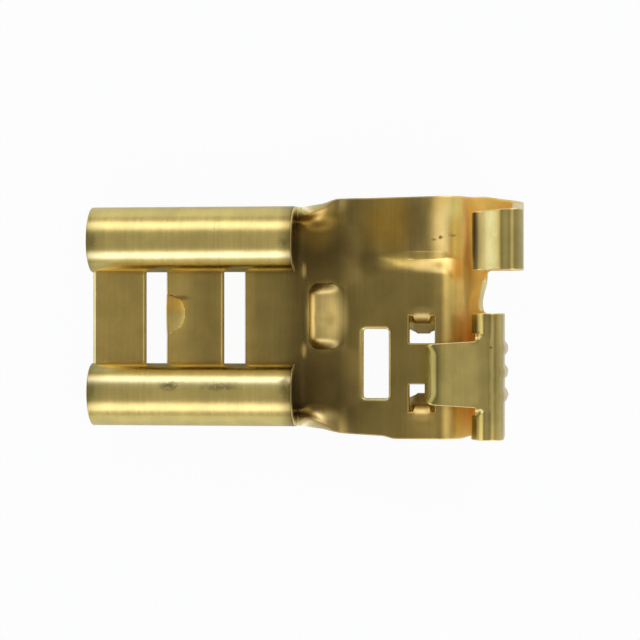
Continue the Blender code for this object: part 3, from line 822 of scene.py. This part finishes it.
# %% Holes
WINDOW_START = 9.74
WINDOW_LENGTH = 0.90
WINDOW_WIDTH = 2.41
WINDOW_CORNER_RADIUS = 0.10


def slot(start, length, middle, width, radius):
    """Outline of a slot across the sheet."""
    end, low, high = start + length, middle - width / 2, middle + width / 2
    corners = [(start, low), (end, low), (end, high), (start, high)]
    return rounded([(s, v, radius) for s, v in corners])


def lance_cut(side):
    """The narrow U-shaped cut that frees a lance on three sides."""
    root = lance_root(side)
    tip = root - side * LANCE_LENGTH
    left, right = LANCE_START, LANCE_START + LANCE_WIDTH
    radius = WINDOW_CORNER_RADIUS
    return rounded([
        (left, root, 0.0),
        (left, tip, SHEAR_GAP),
        (right, tip, SHEAR_GAP),
        (right, root, 0.0),
        (right - SHEAR_GAP, root, 0.0),
        (right - SHEAR_GAP, tip + side * SHEAR_GAP, radius),
        (left + SHEAR_GAP, tip + side * SHEAR_GAP, radius),
        (left + SHEAR_GAP, root, 0.0),
    ])


HOLES = [
    slot(FRONT_SLOT_START, SLOT_WIDTH, 0.0, SLOT_LENGTH, SLOT_CORNER_RADIUS),
    slot(REAR_SLOT_START, SLOT_WIDTH, 0.0, SLOT_LENGTH, SLOT_CORNER_RADIUS),
    slot(WINDOW_START, WINDOW_LENGTH, WINDOW_CENTRE, WINDOW_WIDTH, WINDOW_CORNER_RADIUS),
    lance_cut(1),
    lance_cut(-1),
]
print(len(HOLES), "holes")

# %% [markdown]
# ## The cut edges
#
# A punch drags the sheet down where it cuts, so every edge has a soft roll on the upper face
# and a small burr on the lower one. A Bevel modifier would round all edges alike. Here the
# points along an outline come in rings, from the flat over the roll and down the cut wall,
# and each outline has its own roll: wider at the slots and the window, which were struck
# hardest, and at the worn front edge, and a bevel in the notch.

# %% Cut edges
EDGE_SPACING = 0.06
FINE_ROLL = (0.06, 0.04)
STRUCK_ROLL = (0.15, 0.035)
WINDOW_ROLL = (0.20, 0.09)
NOTCH_ROLL = (0.24, 0.075)
FRONT_ROLL = (0.18, 0.16)
FRONT_ROLL_REACH = 0.10
ROLL_POINTS = 5
BURR = 0.02
BURR_SHARE = 0.3
CUT_TOP = 0.05
LEAST_REACH = 0.5
NOTCH_RISE = (0.10, 0.35)
NOTCH_FALL = (1.20, 1.50)
NOTCH_INNER = (14.0, 14.4)


def divided(loop, spacing):
    """The outline with no side longer than a spacing."""
    result = []
    for index, start in enumerate(loop):
        end = loop[(index + 1) % len(loop)]
        count = max(1, math.ceil((end - start).length / spacing))
        result += [start + (end - start) * i / count for i in range(count)]
    return np.array([tuple(point) for point in result])


def inward_of(loop, is_hole):
    """For each point of an outline, the way into the sheet, lengthened at corners."""
    following = np.roll(loop, -1, axis=0)
    side = following - loop
    side /= np.linalg.norm(side, axis=1, keepdims=True)
    normal = np.stack([-side[:, 1], side[:, 0]], axis=1)
    middle = normal + np.roll(normal, 1, axis=0)
    middle = middle / np.linalg.norm(middle, axis=1, keepdims=True)
    area = np.sum(loop[:, 0] * following[:, 1] - following[:, 0] * loop[:, 1])
    reach = np.maximum(np.sum(middle * normal, axis=1, keepdims=True), LEAST_REACH)
    return np.sign(area) * (-1.0 if is_hole else 1.0) * middle / reach


def notch_share(loop):
    """1 for the points of an outline along the bottom of the notch, 0 elsewhere."""
    s, v = loop[:, :1], loop[:, 1:]
    return between(NOTCH_RISE, NOTCH_FALL, v) * smooth(*NOTCH_INNER, s)


def rings_of(loop, inward, roll):
    """Points and heights in the sheet of the rings along an outline, top to bottom."""
    notch = notch_share(loop)
    front = smooth(-FLOOR_LEAD + FRONT_ROLL_REACH, -FLOOR_LEAD, loop[:, :1])
    width, depth = [
        value + (wide - value) * notch + (worn - value) * front
        for value, wide, worn in zip(roll, NOTCH_ROLL, FRONT_ROLL)
    ]
    top = STOCK / 2
    upper = []
    for turn in np.linspace(0.0, math.pi / 2, ROLL_POINTS):
        inset, drop = 1.0 - math.sin(turn), 1.0 - math.cos(turn)
        upper.append((width * inset, top - depth * (drop + (1.0 - inset - drop) * notch)))
    small = BURR * BURR_SHARE
    lower = [(0.0, -top + BURR), (small, -top + small), (BURR, -top), (width, -top)]
    level = np.ones((len(loop), 1))
    return [(loop + inward * inset, height * level) for inset, height in upper + lower]


rolls = [FINE_ROLL, STRUCK_ROLL, STRUCK_ROLL, WINDOW_ROLL, FINE_ROLL, FINE_ROLL]
loops = [divided(loop, EDGE_SPACING) for loop in [OUTLINE] + HOLES]
inwards = [inward_of(loop, index > 0) for index, loop in enumerate(loops)]
rings = [rings_of(loop, inward, roll) for loop, inward, roll in zip(loops, inwards, rolls)]
print("points along the cut edges:", sum(len(loop) for loop in loops))

# %% [markdown]
# ## Points inside the edges
#
# A subdivided plane would spread its points evenly, and most would be wasted. Here they follow
# the folds. The rails need close lines along their roll and few across, the barrels need both,
# and each pressed form has a closer grid of its own.

# %% Grid inside the edges
RAIL_SPACING = 0.45
ROLL_SPACING = 0.075
ROLL_MARGIN = 0.05
FLOOR_MARGIN = 0.2
GRID_SPACING = 0.085
DIMPLE_SPACING = 0.04
DIMPLE_REACH = 0.8
DIMPLE_LIMITS = (-0.7, 0.9)
STOP_SPACING = 0.045
STOP_MARGIN = 0.1
RIB_SPACING_ALONG = 0.075
RIB_SPACING = 0.052
RIB_MARGINS = (0.35, 0.45)
STEP_LIP_REACH = (10.0, 13.1)
STEP_LIP_SPACINGS = (0.08, 0.035)
STEP_LIP_HALF = 0.2
STEP_LIP_GAP = 0.22


def spaced(start, end, step):
    """Evenly spaced values from start to end, about a step apart."""
    return np.linspace(start, end, max(1, round((end - start) / step)) + 1)


def grid(s_values, v_values):
    """Every pair of two lists of values, as points."""
    s, v = np.meshgrid(s_values, v_values, indexing="ij")
    return np.stack([s.ravel(), v.ravel()], axis=1)


def filled(box, s_step, v_step):
    """A grid that fills a box of the blank."""
    return grid(spaced(box[0], box[1], s_step), spaced(box[2], box[3], v_step))


def in_box(points, low_s, high_s, low_v, high_v):
    """True for the points inside a box of the blank."""
    s, v = points[:, 0], points[:, 1]
    return (s > low_s) & (s < high_s) & (v > low_v) & (v < high_v)


floor_s = spaced(-FLOOR_LEAD, RAIL_LENGTH, RAIL_SPACING)
floor_v = spaced(-FLOOR_HALF + FLOOR_MARGIN, FLOOR_HALF - FLOOR_MARGIN, RAIL_SPACING)
rail_v = spaced(FLOOR_HALF - ROLL_MARGIN, upper_lip, ROLL_SPACING)
receptacle = np.concatenate([grid(floor_s, v) for v in (rail_v, -rail_v, floor_v)])
dimple_start = FRONT_SLOT_START + SLOT_WIDTH
dimple_box = (dimple_start, dimple_start + DIMPLE_REACH, *DIMPLE_LIMITS)
dimple = filled(dimple_box, DIMPLE_SPACING, DIMPLE_SPACING)
receptacle = receptacle[~in_box(receptacle, *dimple_box)]
body_box = (RAIL_LENGTH, INSULATION_END, -PLATE_BOTTOM_WIDE, PLATE_TOP + INSULATION_FLARE)
body = filled(body_box, GRID_SPACING, GRID_SPACING)
stop_box = (
    STOP_START - STOP_MARGIN,
    STOP_START + STOP_LENGTH + STOP_MARGIN,
    -STOP_WIDTH / 2 - STOP_MARGIN,
    STOP_WIDTH / 2 + STOP_MARGIN,
)
stop = filled(stop_box, STOP_SPACING, STOP_SPACING)
rib_low = RIB_FIRST - RIB_COUNT * RIB_PITCH + RIB_MARGINS[0]
rib_box = (WIRE_WALL_TOP, WIRE_BEND_END, rib_low, RIB_FIRST + RIB_MARGINS[1])
ribs = filled(rib_box, RIB_SPACING_ALONG, RIB_SPACING)
lip_v = STEP_LIP_PLACE + spaced(-STEP_LIP_HALF, STEP_LIP_HALF, STEP_LIP_SPACINGS[1])
lip = grid(spaced(*STEP_LIP_REACH, STEP_LIP_SPACINGS[0]), lip_v)
lip_box = (*STEP_LIP_REACH, STEP_LIP_PLACE - STEP_LIP_GAP, STEP_LIP_PLACE + STEP_LIP_GAP)
for box in (rib_box, stop_box, lip_box):
    body = body[~in_box(body, *box)]
print("grid points:", len(receptacle) + len(dimple), "in the receptacle,", len(body), "behind it")

# %% [markdown]
# Each lance has columns of points that start on its arched hinge, so that the bend begins in
# the same row for all of them.

# %% Grid of the lances
LANCE_SPACING = 0.045
LANCE_COLUMN_SPACING = 0.06
LANCE_BEFORE_HINGE = 0.09
LANCE_BEHIND_ROOT = 0.32
LANCE_MARGIN = 0.06

lances = []
first_column = LANCE_START + SHEAR_GAP + FINE_ROLL[0]
last_column = LANCE_START + LANCE_WIDTH - SHEAR_GAP - FINE_ROLL[0]
rows = spaced(-LANCE_BEFORE_HINGE, LANCE_LENGTH + LANCE_ARCH, LANCE_SPACING)
for side in (1, -1):
    root = lance_root(side)
    ends = (root + side * LANCE_BEHIND_ROOT, root - side * (LANCE_LENGTH + LANCE_MARGIN))
    sides = (LANCE_START - LANCE_MARGIN, LANCE_START + LANCE_WIDTH + LANCE_MARGIN)
    body = body[~in_box(body, *sides, *sorted(ends))]
    for s in spaced(first_column, last_column, LANCE_COLUMN_SPACING):
        hinge = float(lance_hinge(np.array(s), side))
        lances += [(s, hinge - side * row) for row in rows]
candidates = np.concatenate([receptacle, dimple, body, lip, stop, ribs, np.array(lances)])
print("grid points offered:", len(candidates))


# %% [markdown]
# Only points that lie on the sheet and clear of its edges are kept. Then a Delaunay
# triangulation joins them all, with the edges as fixed lines, and the triangles that fall in
# a hole are dropped. Filling the outline by hand would leave long thin triangles, and those
# show as creases once the sheet is bent.

# %% Triangles of the flat blank
CLEARANCE = 0.045
SHORTEST_SIDE = 1e-12
MERGE_WITHIN = 1e-7
INSIDE_ONLY = 1  # kind of result: triangles inside the fixed lines

flats = [ring_list[0][0] for ring_list in rings]
starts = np.concatenate(flats)
ends = np.concatenate([np.roll(loop, -1, axis=0) for loop in flats])


def on_sheet(points):
    """True for points inside the outline and in no hole."""
    inside = np.zeros(len(points), dtype=bool)
    for start, end in zip(starts, ends):
        crosses = (start[1] > points[:, 1]) != (end[1] > points[:, 1])
        slope = (end[0] - start[0]) / ((end[1] - start[1]) or 1.0)
        inside ^= crosses & (start[0] + (points[:, 1] - start[1]) * slope > points[:, 0])
    return inside


def clear_of_edges(points):
    """True for points no nearer to an edge than the clearance."""
    clear = np.ones(len(points), dtype=bool)
    for start, end in zip(starts, ends):
        side = end - start
        offset = points - start
        share = np.clip(offset @ side / max(side @ side, SHORTEST_SIDE), 0.0, 1.0)
        gap = offset - share[:, None] * side
        clear &= np.einsum("ij,ij->i", gap, gap) > CLEARANCE ** 2
    return clear


candidates = candidates[on_sheet(candidates)]
candidates = candidates[clear_of_edges(candidates)]
constraints = []
for loop in flats:
    first = len(constraints)
    constraints += [(first + i, first + (i + 1) % len(loop)) for i in range(len(loop))]
points = [Vector(point) for point in np.concatenate([starts, candidates])]
result = delaunay_2d_cdt(points, constraints, [], INSIDE_ONLY, MERGE_WITHIN)
blank = np.array([tuple(corner) for corner in result[0]])
triangles = np.array(result[2])
origins = result[3]
triangles = triangles[on_sheet(blank[triangles].mean(axis=1))]
print("flat blank:", len(blank), "points and", len(triangles), "triangles")

# %% [markdown]
# ## Two faces and a cut edge
#
# A Solidify modifier would give the sheet its thickness, but sharp edges without a roll. So
# every point of the flat blank goes through the folds twice, half the thickness above the
# middle of the sheet and half below, and along each outline the rings join the two faces.
# Then the part is leaned as it lies in the photograph, on its mouth's lower edge and on its
# ribs.

# %% Folded skin
LEAN = 6.760381
REST_SHIFT = (-7.4117, -0.0079, 0.2233)
IN_NOTCH = 0.5


def face_points(blank_points, height):
    """Places in mm of blank points, at a height over the middle of the sheet."""
    s, v = blank_points[:, 0], blank_points[:, 1]
    return formed(s, v) + facing(s, v) * height


found = {source: index for index, merged in enumerate(origins) for source in merged}
blank_count = len(blank)
places = [face_points(blank, STOCK / 2), face_points(blank, -STOCK / 2)]
is_cut = [0.0] * (2 * blank_count)
flat_places = [blank, blank]
faces = [tuple(triangle) for triangle in triangles]
faces += [tuple(triangle[::-1] + blank_count) for triangle in triangles]
rim_faces = []
next_point = 2 * blank_count
first = 0
for loop, ring_list in zip(loops, rings):
    count = len(loop)
    notch = notch_share(loop)[:, 0]
    on_blank = [found[first + i] for i in range(count)]
    numbered = [on_blank]
    for ring_points, height in ring_list[1:-1]:
        places.append(face_points(ring_points, height))
        flat_places.append(ring_points)
        level = height[:, 0]
        below_roll = (level < STOCK / 2 - CUT_TOP) | (level < STOCK / 2) & (notch > IN_NOTCH)
        is_cut += (below_roll & (level > -STOCK / 2)).astype(float).tolist()
        numbered.append(list(range(next_point, next_point + count)))
        next_point += count
    numbered.append([index + blank_count for index in on_blank])
    for upper, lower in zip(numbered, numbered[1:]):
        for i in range(count):
            j = (i + 1) % count
            rim_faces.append((upper[i], upper[j], lower[j], lower[i]))
    first += count

places = np.concatenate(places)
flat_places = np.concatenate(flat_places)
skin = bpy.data.meshes.new("brass_terminal")
skin.from_pydata(places.tolist(), [], faces + rim_faces)
skin.transform(Matrix.Rotation(-math.radians(LEAN), 4, "Y"))
skin.transform(Matrix.Translation(REST_SHIFT))
skin.transform(Matrix.Scale(MM, 4))
print("skin:", len(skin.vertices), "points and", len(skin.polygons), "faces")

# %% [markdown]
# At eight sharp corners the rings shrink almost to a point and leave gaps of a hundredth of a
# millimetre. They are filled, as F does in edit mode, so that the skin is closed and its
# normals can be worked out afresh. By hand it would then be unwrapped for its UV map. This one
# has been flat already, so each point's place on the blank is its UV, in millimetres. Lines,
# stains and wear then follow the sheet through its folds, as on the real part. A second value
# says how much of a face is bare cut metal.

# %% Closing and marking the skin
def keep_on_skin(name, kind, field, values):
    """Writes one value for each point of the skin, for the shader to read."""
    skin.attributes.new(name, kind, "POINT").data.foreach_set(field, values)


edit = bmesh.new()
edit.from_mesh(skin)
gaps = [edge for edge in edit.edges if edge.is_boundary]
bmesh.ops.holes_fill(edit, edges=gaps, sides=0)
bmesh.ops.recalc_face_normals(edit, faces=edit.faces)
if edit.calc_volume(signed=True) < 0.0:
    bmesh.ops.reverse_faces(edit, faces=edit.faces)
open_edges = sum(not edge.is_manifold for edge in edit.edges)
volume = edit.calc_volume(signed=True)
edit.to_mesh(skin)
edit.free()
skin.shade_smooth()
cut_values = np.array(is_cut, dtype=float)
keep_on_skin("cut", "FLOAT", "value", cut_values)
uv_layer = skin.uv_layers.new(name="blank")
corner_points = np.zeros(len(skin.loops), dtype=np.int32)
skin.loops.foreach_get("vertex_index", corner_points)
uv_layer.data.foreach_set("uv", flat_places[corner_points].ravel())
terminal = bpy.data.objects.new("brass_terminal", skin)
bpy.context.scene.collection.objects.link(terminal)
print("open edges:", open_edges, "volume:", round(volume / MM ** 3, 2), "mm3")

# %% [markdown]
# ## Tones of the sheet
#
# Brass strip is rolled bright, and the face that ended up outside, on the rails and the
# wings, stayed that way. On the inner face light and shade are painted into the colour:
# painted shade darkens the neck, painted light warms the barrels, and strokes of painted
# highlight and shade lie on the dimple, the stop pad, the ears, the step and the lances. On
# the outer face, strokes of painted shade and light lie on the bends and ends of the wings
# and on the lock tab. Cut edges are fresh metal, paler than either. By hand one would fill
# the sheet in Vertex Paint mode and add soft round strokes. The script does the same, with a
# level for each place along the blank and a list of strokes, so each tint can still be
# changed.

# %% Brush strokes
OUTER_BRASS = (0.90, 0.70, 0.22)
INNER_BRASS = (0.90, 0.64, 0.18)
CUT_BRASS = (0.98, 0.86, 0.44)
# Inner face: painted shade in the neck and painted light in the barrels, as levels along s.
PAINTED_LIGHT_AND_SHADE_ALONG = [
    (0.3, 0.82), (1.5, 0.74), (2.5, 0.90), (3.0, 0.90), (3.4, 0.72), (3.8, 0.56), (4.3, 0.56),
    (4.5, 0.76), (5.5, 0.72), (5.8, 0.54), (6.6, 0.50), (6.9, 0.38), (7.1, 0.33), (7.6, 0.23),
    (8.9, 0.23), (9.3, 0.34), (9.8, 0.47), (11.0, 0.465), (12.1, 0.50), (12.4, 0.72),
    (12.7, 0.98), (13.2, 1.1),
]
# Strokes of painted highlight and painted shade on the inner face.
INNER_LIGHT_AND_SHADE_STROKES = [
    # s, v, half length, half width, tint
    (10.7, 3.2, 1.3, 1.3, (1.12, 0.95, 0.62)),
    (12.9, 3.0, 1.1, 1.5, (1.40, 1.45, 2.00)),
    (13.7, 3.0, 0.8, 1.6, (0.80, 0.86, 1.05)),
    (12.55, -2.6, 0.45, 4.8, (0.62, 0.62, 0.64)),
    (15.3, -0.5, 2.0, 5.5, (0.95, 0.88, 0.72)),
    (13.9, 1.3, 0.9, 1.7, (0.72, 0.70, 0.62)),
    (12.1, -3.7, 1.3, 0.9, (1.45, 1.42, 1.40)),
    (9.6, -2.9, 1.0, 1.2, (0.80, 0.80, 0.80)),
    (8.42, 0.0, 1.0, 1.4, (4.60, 4.75, 5.60)),
    (8.0, 3.2, 1.2, 1.2, (2.00, 1.80, 1.30)),
    (8.05, 3.30, 1.00, 0.40, (2.50, 2.65, 3.20)),
    (8.05, -3.42, 1.00, 0.40, (2.50, 2.65, 3.20)),
    (10.0, 1.85, 0.6, 0.6, (0.72, 0.72, 0.74)),
    (11.8, 0.20, 0.48, 0.20, (1.40, 1.40, 1.50)),
    (11.8, -3.50, 0.48, 0.20, (1.40, 1.40, 1.50)),
    (8.1, -2.9, 1.0, 1.5, (1.15, 1.15, 1.10)),
    (8.5, 4.2, 1.1, 0.8, (2.20, 2.25, 2.70)),
    (8.5, -4.1, 1.1, 0.9, (2.60, 2.60, 3.10)),
    (9.6, 2.5, 0.7, 1.0, (0.80, 0.78, 0.75)),
    (11.5, 3.2, 0.6, 1.3, (0.72, 0.75, 0.95)),
    (7.48, 1.62, 0.14, 0.35, (3.20, 3.20, 3.60)),
    (7.48, -1.21, 0.14, 0.35, (3.20, 3.20, 3.60)),
    (11.6, 1.86, 1.3, 0.44, (1.50, 1.50, 1.45)),
    (10.85, 1.88, 0.85, 0.36, (1.70, 1.66, 1.55)),
    (2.80, 0.42, 0.50, 0.34, (1.28, 1.06, 0.72)),
    (2.80, -0.20, 0.45, 0.40, (1.10, 1.14, 1.20)),
    (3.00, 0.66, 0.40, 0.12, (0.55, 0.50, 0.45)),
    (-0.21, 0.0, 0.18, 5.5, (1.40, 1.70, 2.80)),
]
OUTER_LIGHT_AND_SHADE_STROKES = [
    # painted shade and light on the bends of the two wings, their free ends, and the lock tab
    (WIRE_BEND_END - 0.105, -1.5, 0.14, 5.0, (0.50, 0.50, 0.52)),
    (WIRE_BEND_END - 0.45, -1.5, 0.36, 5.0, (0.60, 0.61, 0.66)),
    (WIRE_BEND_END + 0.12, -1.5, 0.40, 6.0, (0.78, 0.78, 0.80)),
    (WIRE_EDGE + 0.05, -0.35, 0.38, 0.75, (0.18, 0.18, 0.18)),
    (WIRE_EDGE + 0.05, -3.75, 0.38, 0.85, (0.18, 0.18, 0.18)),
    (INSULATION_BEND_END - 0.10, 2.9, 0.14, 3.2, (0.58, 0.58, 0.60)),
    (INSULATION_BEND_END - 0.42, 2.9, 0.36, 4.0, (0.60, 0.61, 0.66)),
    (INSULATION_BEND_END + 0.08, 2.9, 0.36, 4.0, (0.90, 0.90, 0.92)),
    (FACET_END - 0.32, 2.6, 0.36, 3.4, (1.15, 1.25, 1.75)),
    (INSULATION_END + 0.05, 2.6, 0.78, 3.4, (0.24, 0.23, 0.32)),
    (LOCK_END - 0.20, -2.0, 0.50, 3.6, (0.45, 0.48, 0.50)),
]
DARKENING_STROKES = [
    # on both faces: darker at the ends of the rails and at the corners of the mouth
    (7.20, 5.7, 0.28, 6.0, (0.48, 0.45, 0.40)),
    (7.20, -5.7, 0.32, 6.0, (0.45, 0.42, 0.37)),
    (0.0, 6.0, 0.45, 1.2, (0.55, 0.57, 0.55)),
    (0.0, -6.0, 0.45, 1.2, (0.55, 0.57, 0.55)),
]
print(len(INNER_LIGHT_AND_SHADE_STROKES) + len(OUTER_LIGHT_AND_SHADE_STROKES) + len(DARKENING_STROKES), "strokes")

# %% [markdown]
# Painted reflections lie on the rail lips, a dark and a bright band. How dull the inner
# face is gets a value of its own: rougher in the barrels, and at the sides of the neck.

# %% Painting the tones
LIP_PAINTED_SHADE = (0.77, 0.79, 0.84)
LIP_PAINTED_SHADE_FALL = (0.66, 0.90)
LIP_PAINTED_HIGHLIGHT = (1.10, 1.18, 1.60)
LIP_PAINTED_HIGHLIGHT_RISE = (0.86, 0.96)
LIP_PAINTED_HIGHLIGHT_FALL = (1.06, 1.24)
STROKE_CORE = 0.35
BARREL_RISE, BARREL_FALL = (12.2, 13.4), (17.0, 18.2)
NECK_RISE, NECK_FALL = (7.0, 7.4), (9.3, 9.9)
NECK_SIDE_RISE, NECK_SIDE_FALL = (0.9, 1.4), (2.9, 3.3)
NECK_MIDDLE = 0.3


def stroked(tone, s, v, strokes):
    """Tones after soft-edged strokes have multiplied them by their tints."""
    for centre_s, centre_v, half_length, half_width, tint in strokes:
        away = np.hypot((s - centre_s) / half_length, (v - centre_v) / half_width)
        weight = (1.0 - smooth(STROKE_CORE, 1.0, away))[:, None]
        tone = tone * (1.0 + (np.array(tint) - 1.0) * weight)
    return tone


s, v = flat_places[:, 0], flat_places[:, 1]
# Painted shade and light: levels and strokes on the inner face, strokes on the outer face.
inner = np.outer(np.interp(s, *zip(*PAINTED_LIGHT_AND_SHADE_ALONG)), INNER_BRASS)
inner = stroked(inner, s, v, INNER_LIGHT_AND_SHADE_STROKES)
outer = stroked(np.tile(OUTER_BRASS, (len(s), 1)), s, v, OUTER_LIGHT_AND_SHADE_STROKES)
from_lip = np.where(v > 0.0, upper_lip, lower_lip) - np.abs(v)
on_rail = (s < RAIL_LENGTH).astype(float)
lip_painted_shade = on_rail * (1.0 - smooth(*LIP_PAINTED_SHADE_FALL, from_lip))
lip_painted_highlight = on_rail * between(LIP_PAINTED_HIGHLIGHT_RISE, LIP_PAINTED_HIGHLIGHT_FALL, from_lip)
# painted shade and painted highlight on the rail lips
for weight, tint in ((lip_painted_shade, LIP_PAINTED_SHADE), (lip_painted_highlight, LIP_PAINTED_HIGHLIGHT)):
    outer *= 1.0 + weight[:, None] * (np.array(tint) - 1.0)
is_outer = np.zeros(len(places))
is_outer[blank_count:2 * blank_count] = 1.0
tone = stroked(inner + (outer - inner) * is_outer[:, None], s, v, DARKENING_STROKES)
tone = np.clip(tone + (np.array(CUT_BRASS) - tone) * cut_values[:, None], 0.0, 1.0)
opaque = np.column_stack([tone, np.ones(len(tone))])
keep_on_skin("tone", "FLOAT_COLOR", "color", opaque.ravel())
neck_sides = between(NECK_SIDE_RISE, NECK_SIDE_FALL, np.abs(v))
in_neck = between(NECK_RISE, NECK_FALL, s) * (NECK_MIDDLE + (1.0 - NECK_MIDDLE) * neck_sides)
dullness = between(BARREL_RISE, BARREL_FALL, s) + in_neck
dullness = dullness * (1.0 - is_outer) * (1.0 - cut_values)
keep_on_skin("dull", "FLOAT", "value", dullness)
print("tones from", tone.min(axis=0).round(2), "to", tone.max(axis=0).round(2))

# %% [markdown]
# ## Stains and specks
#
# A few dark stains sit where tools touched the rails, and hard specks near the barrel. An
# image fine enough for a speck would be very large. So each is an ellipse on the blank: the
# shader measures how far a point is from its middle, in units of its own size, and noise
# makes the rim ragged.

# %% Stains and specks
MARKS = [
    # s, v, half length, half width, darkness
    (2.95, -6.02, 0.55, 0.17, 0.85),
    (4.75, -6.00, 0.90, 0.15, 0.70),
    (6.95, 6.05, 0.25, 0.22, 0.60),
    (6.95, -6.00, 0.25, 0.40, 0.60),
    (0.20, 5.90, 0.20, 0.35, 0.45),
    (0.20, -5.90, 0.20, 0.30, 0.45),
    (4.52, 5.70, 0.03, 0.70, 0.22),
    (12.17, 2.67, 0.10, 0.05, 0.75),
    (12.38, 2.75, 0.10, 0.09, 0.90),
    (12.78, 2.82, 0.16, 0.06, 0.70),
    (18.88, -1.07, 0.06, 0.05, 0.70),
]
MARK_COLOUR = (0.05, 0.045, 0.02, 1.0)
MARK_CORE = 0.3
MARK_BREAKS = (0.36, 0.56, 0.35, 1.0)
RAGGED = 3.0

brass = bpy.data.materials.new("drawn_brass")
brass.use_nodes = True
tree = brass.node_tree
place = add_node("UVMap", uv_map="blank").outputs[0]


def noise(scale, detail, stretch=(1.0, 1.0, 1.0), roughness=0.55):
    """Noise on the blank, which may be stretched along it; returns its value output."""
    mapping = add_node("Mapping", {"Scale": stretch})
    join(place, mapping.inputs["Vector"])
    values = {"Scale": scale, "Detail": detail, "Roughness": roughness}
    texture = add_node("TexNoise", values)
    join(mapping.outputs[0], texture.inputs["Vector"])
    return texture.outputs["Fac"]


def vector_node(operation, first, second=None):
    """A Vector Math node on a socket and, where needed, a fixed vector."""
    node = add_node("VectorMath", operation=operation)
    join(first, node.inputs[0])
    if second:
        node.inputs[1].default_value = second
    return node


def mark(centre_s, centre_v, half_length, half_width, darkness):
    """How dark one elliptical mark makes a point."""
    offset = vector_node("SUBTRACT", place, (centre_s, centre_v, 0.0))
    scaled = vector_node("MULTIPLY", offset.outputs[0], (1 / half_length, 1 / half_width, 0.0))
    away = vector_node("LENGTH", scaled.outputs[0]).outputs["Value"]
    ragged = math_node("MULTIPLY_ADD", smudge, RAGGED, away)
    return fade(ragged, 1.0 + RAGGED / 2, MARK_CORE + RAGGED / 2, 0.0, darkness)


smudge = noise(scale=5.0, detail=4.0, roughness=0.7)
marks = mark(*MARKS[0])
for entry in MARKS[1:]:
    marks = math_node("MAXIMUM", marks, mark(*entry))
marks = math_node("MULTIPLY", marks, fade(smudge, *MARK_BREAKS))
print(len(MARKS), "stains and specks")

# %% [markdown]
# ## Brass
#
# Drawing between rollers left fine lines along the strip, and handling a faint cloudiness. A
# scanned metal texture would bring scratches in the wrong places. So noise varies the tones a
# little, stretched for the lines and even for the clouds, and with them the gloss and relief.

# %% Brass
LINE_STRETCH = (11.0, 0.30, 1.0)
NOISE_LIMITS = (0.30, 0.70)
LINE_SHADES = (0.96, 1.03)
CLOUD_SHADES = (0.92, 1.08)
POLISH = (0.20, 0.25)
DULL_ROUGHNESS = 0.42
MARK_ROUGHNESS = 0.35
CUT_ROUGHNESS = 0.15
CLOUD_RELIEF = 8.0
LINE_RELIEF = 0.2
BUMP_DISTANCE = 0.001

shader = tree.nodes["Principled BSDF"]
tone_node, cut_node, dull_node = [
    add_node("Attribute", attribute_name=name) for name in ("tone", "cut", "dull")
]
lines = noise(scale=1.0, detail=4.0, stretch=LINE_STRETCH)
cloud = noise(scale=1.1, detail=5.0)
line_tone = fade(lines, *NOISE_LIMITS, *LINE_SHADES)
cloud_tone = fade(cloud, *NOISE_LIMITS, *CLOUD_SHADES)
shade = math_node("MULTIPLY", line_tone, cloud_tone)
colour = mixed(1.0, tone_node.outputs["Color"], shade, "MULTIPLY")
join(mixed(marks, colour, MARK_COLOUR), shader.inputs["Base Color"])
shader.inputs["Metallic"].default_value = 1.0
roughness = fade(lines, *NOISE_LIMITS, *POLISH)
for amount, extra in (
    (dull_node.outputs["Fac"], DULL_ROUGHNESS),
    (marks, MARK_ROUGHNESS),
    (cut_node.outputs["Fac"], CUT_ROUGHNESS),
):
    roughness = math_node("MULTIPLY_ADD", amount, extra, roughness)
join(roughness, shader.inputs["Roughness"])
height = math_node("MULTIPLY", lines, LINE_RELIEF)
height = math_node("MULTIPLY_ADD", cloud, CLOUD_RELIEF, height)
bump = add_node("Bump", {"Strength": 1.0, "Distance": BUMP_DISTANCE * MM})
join(height, bump.inputs["Height"])
join(bump.outputs[0], shader.inputs["Normal"])
skin.materials.append(brass)
print("brass with", len(tree.nodes), "nodes")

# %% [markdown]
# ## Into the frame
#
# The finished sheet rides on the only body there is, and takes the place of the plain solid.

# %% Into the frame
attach(terminal, "root")
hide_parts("terminal")
bpy.context.view_layer.update()
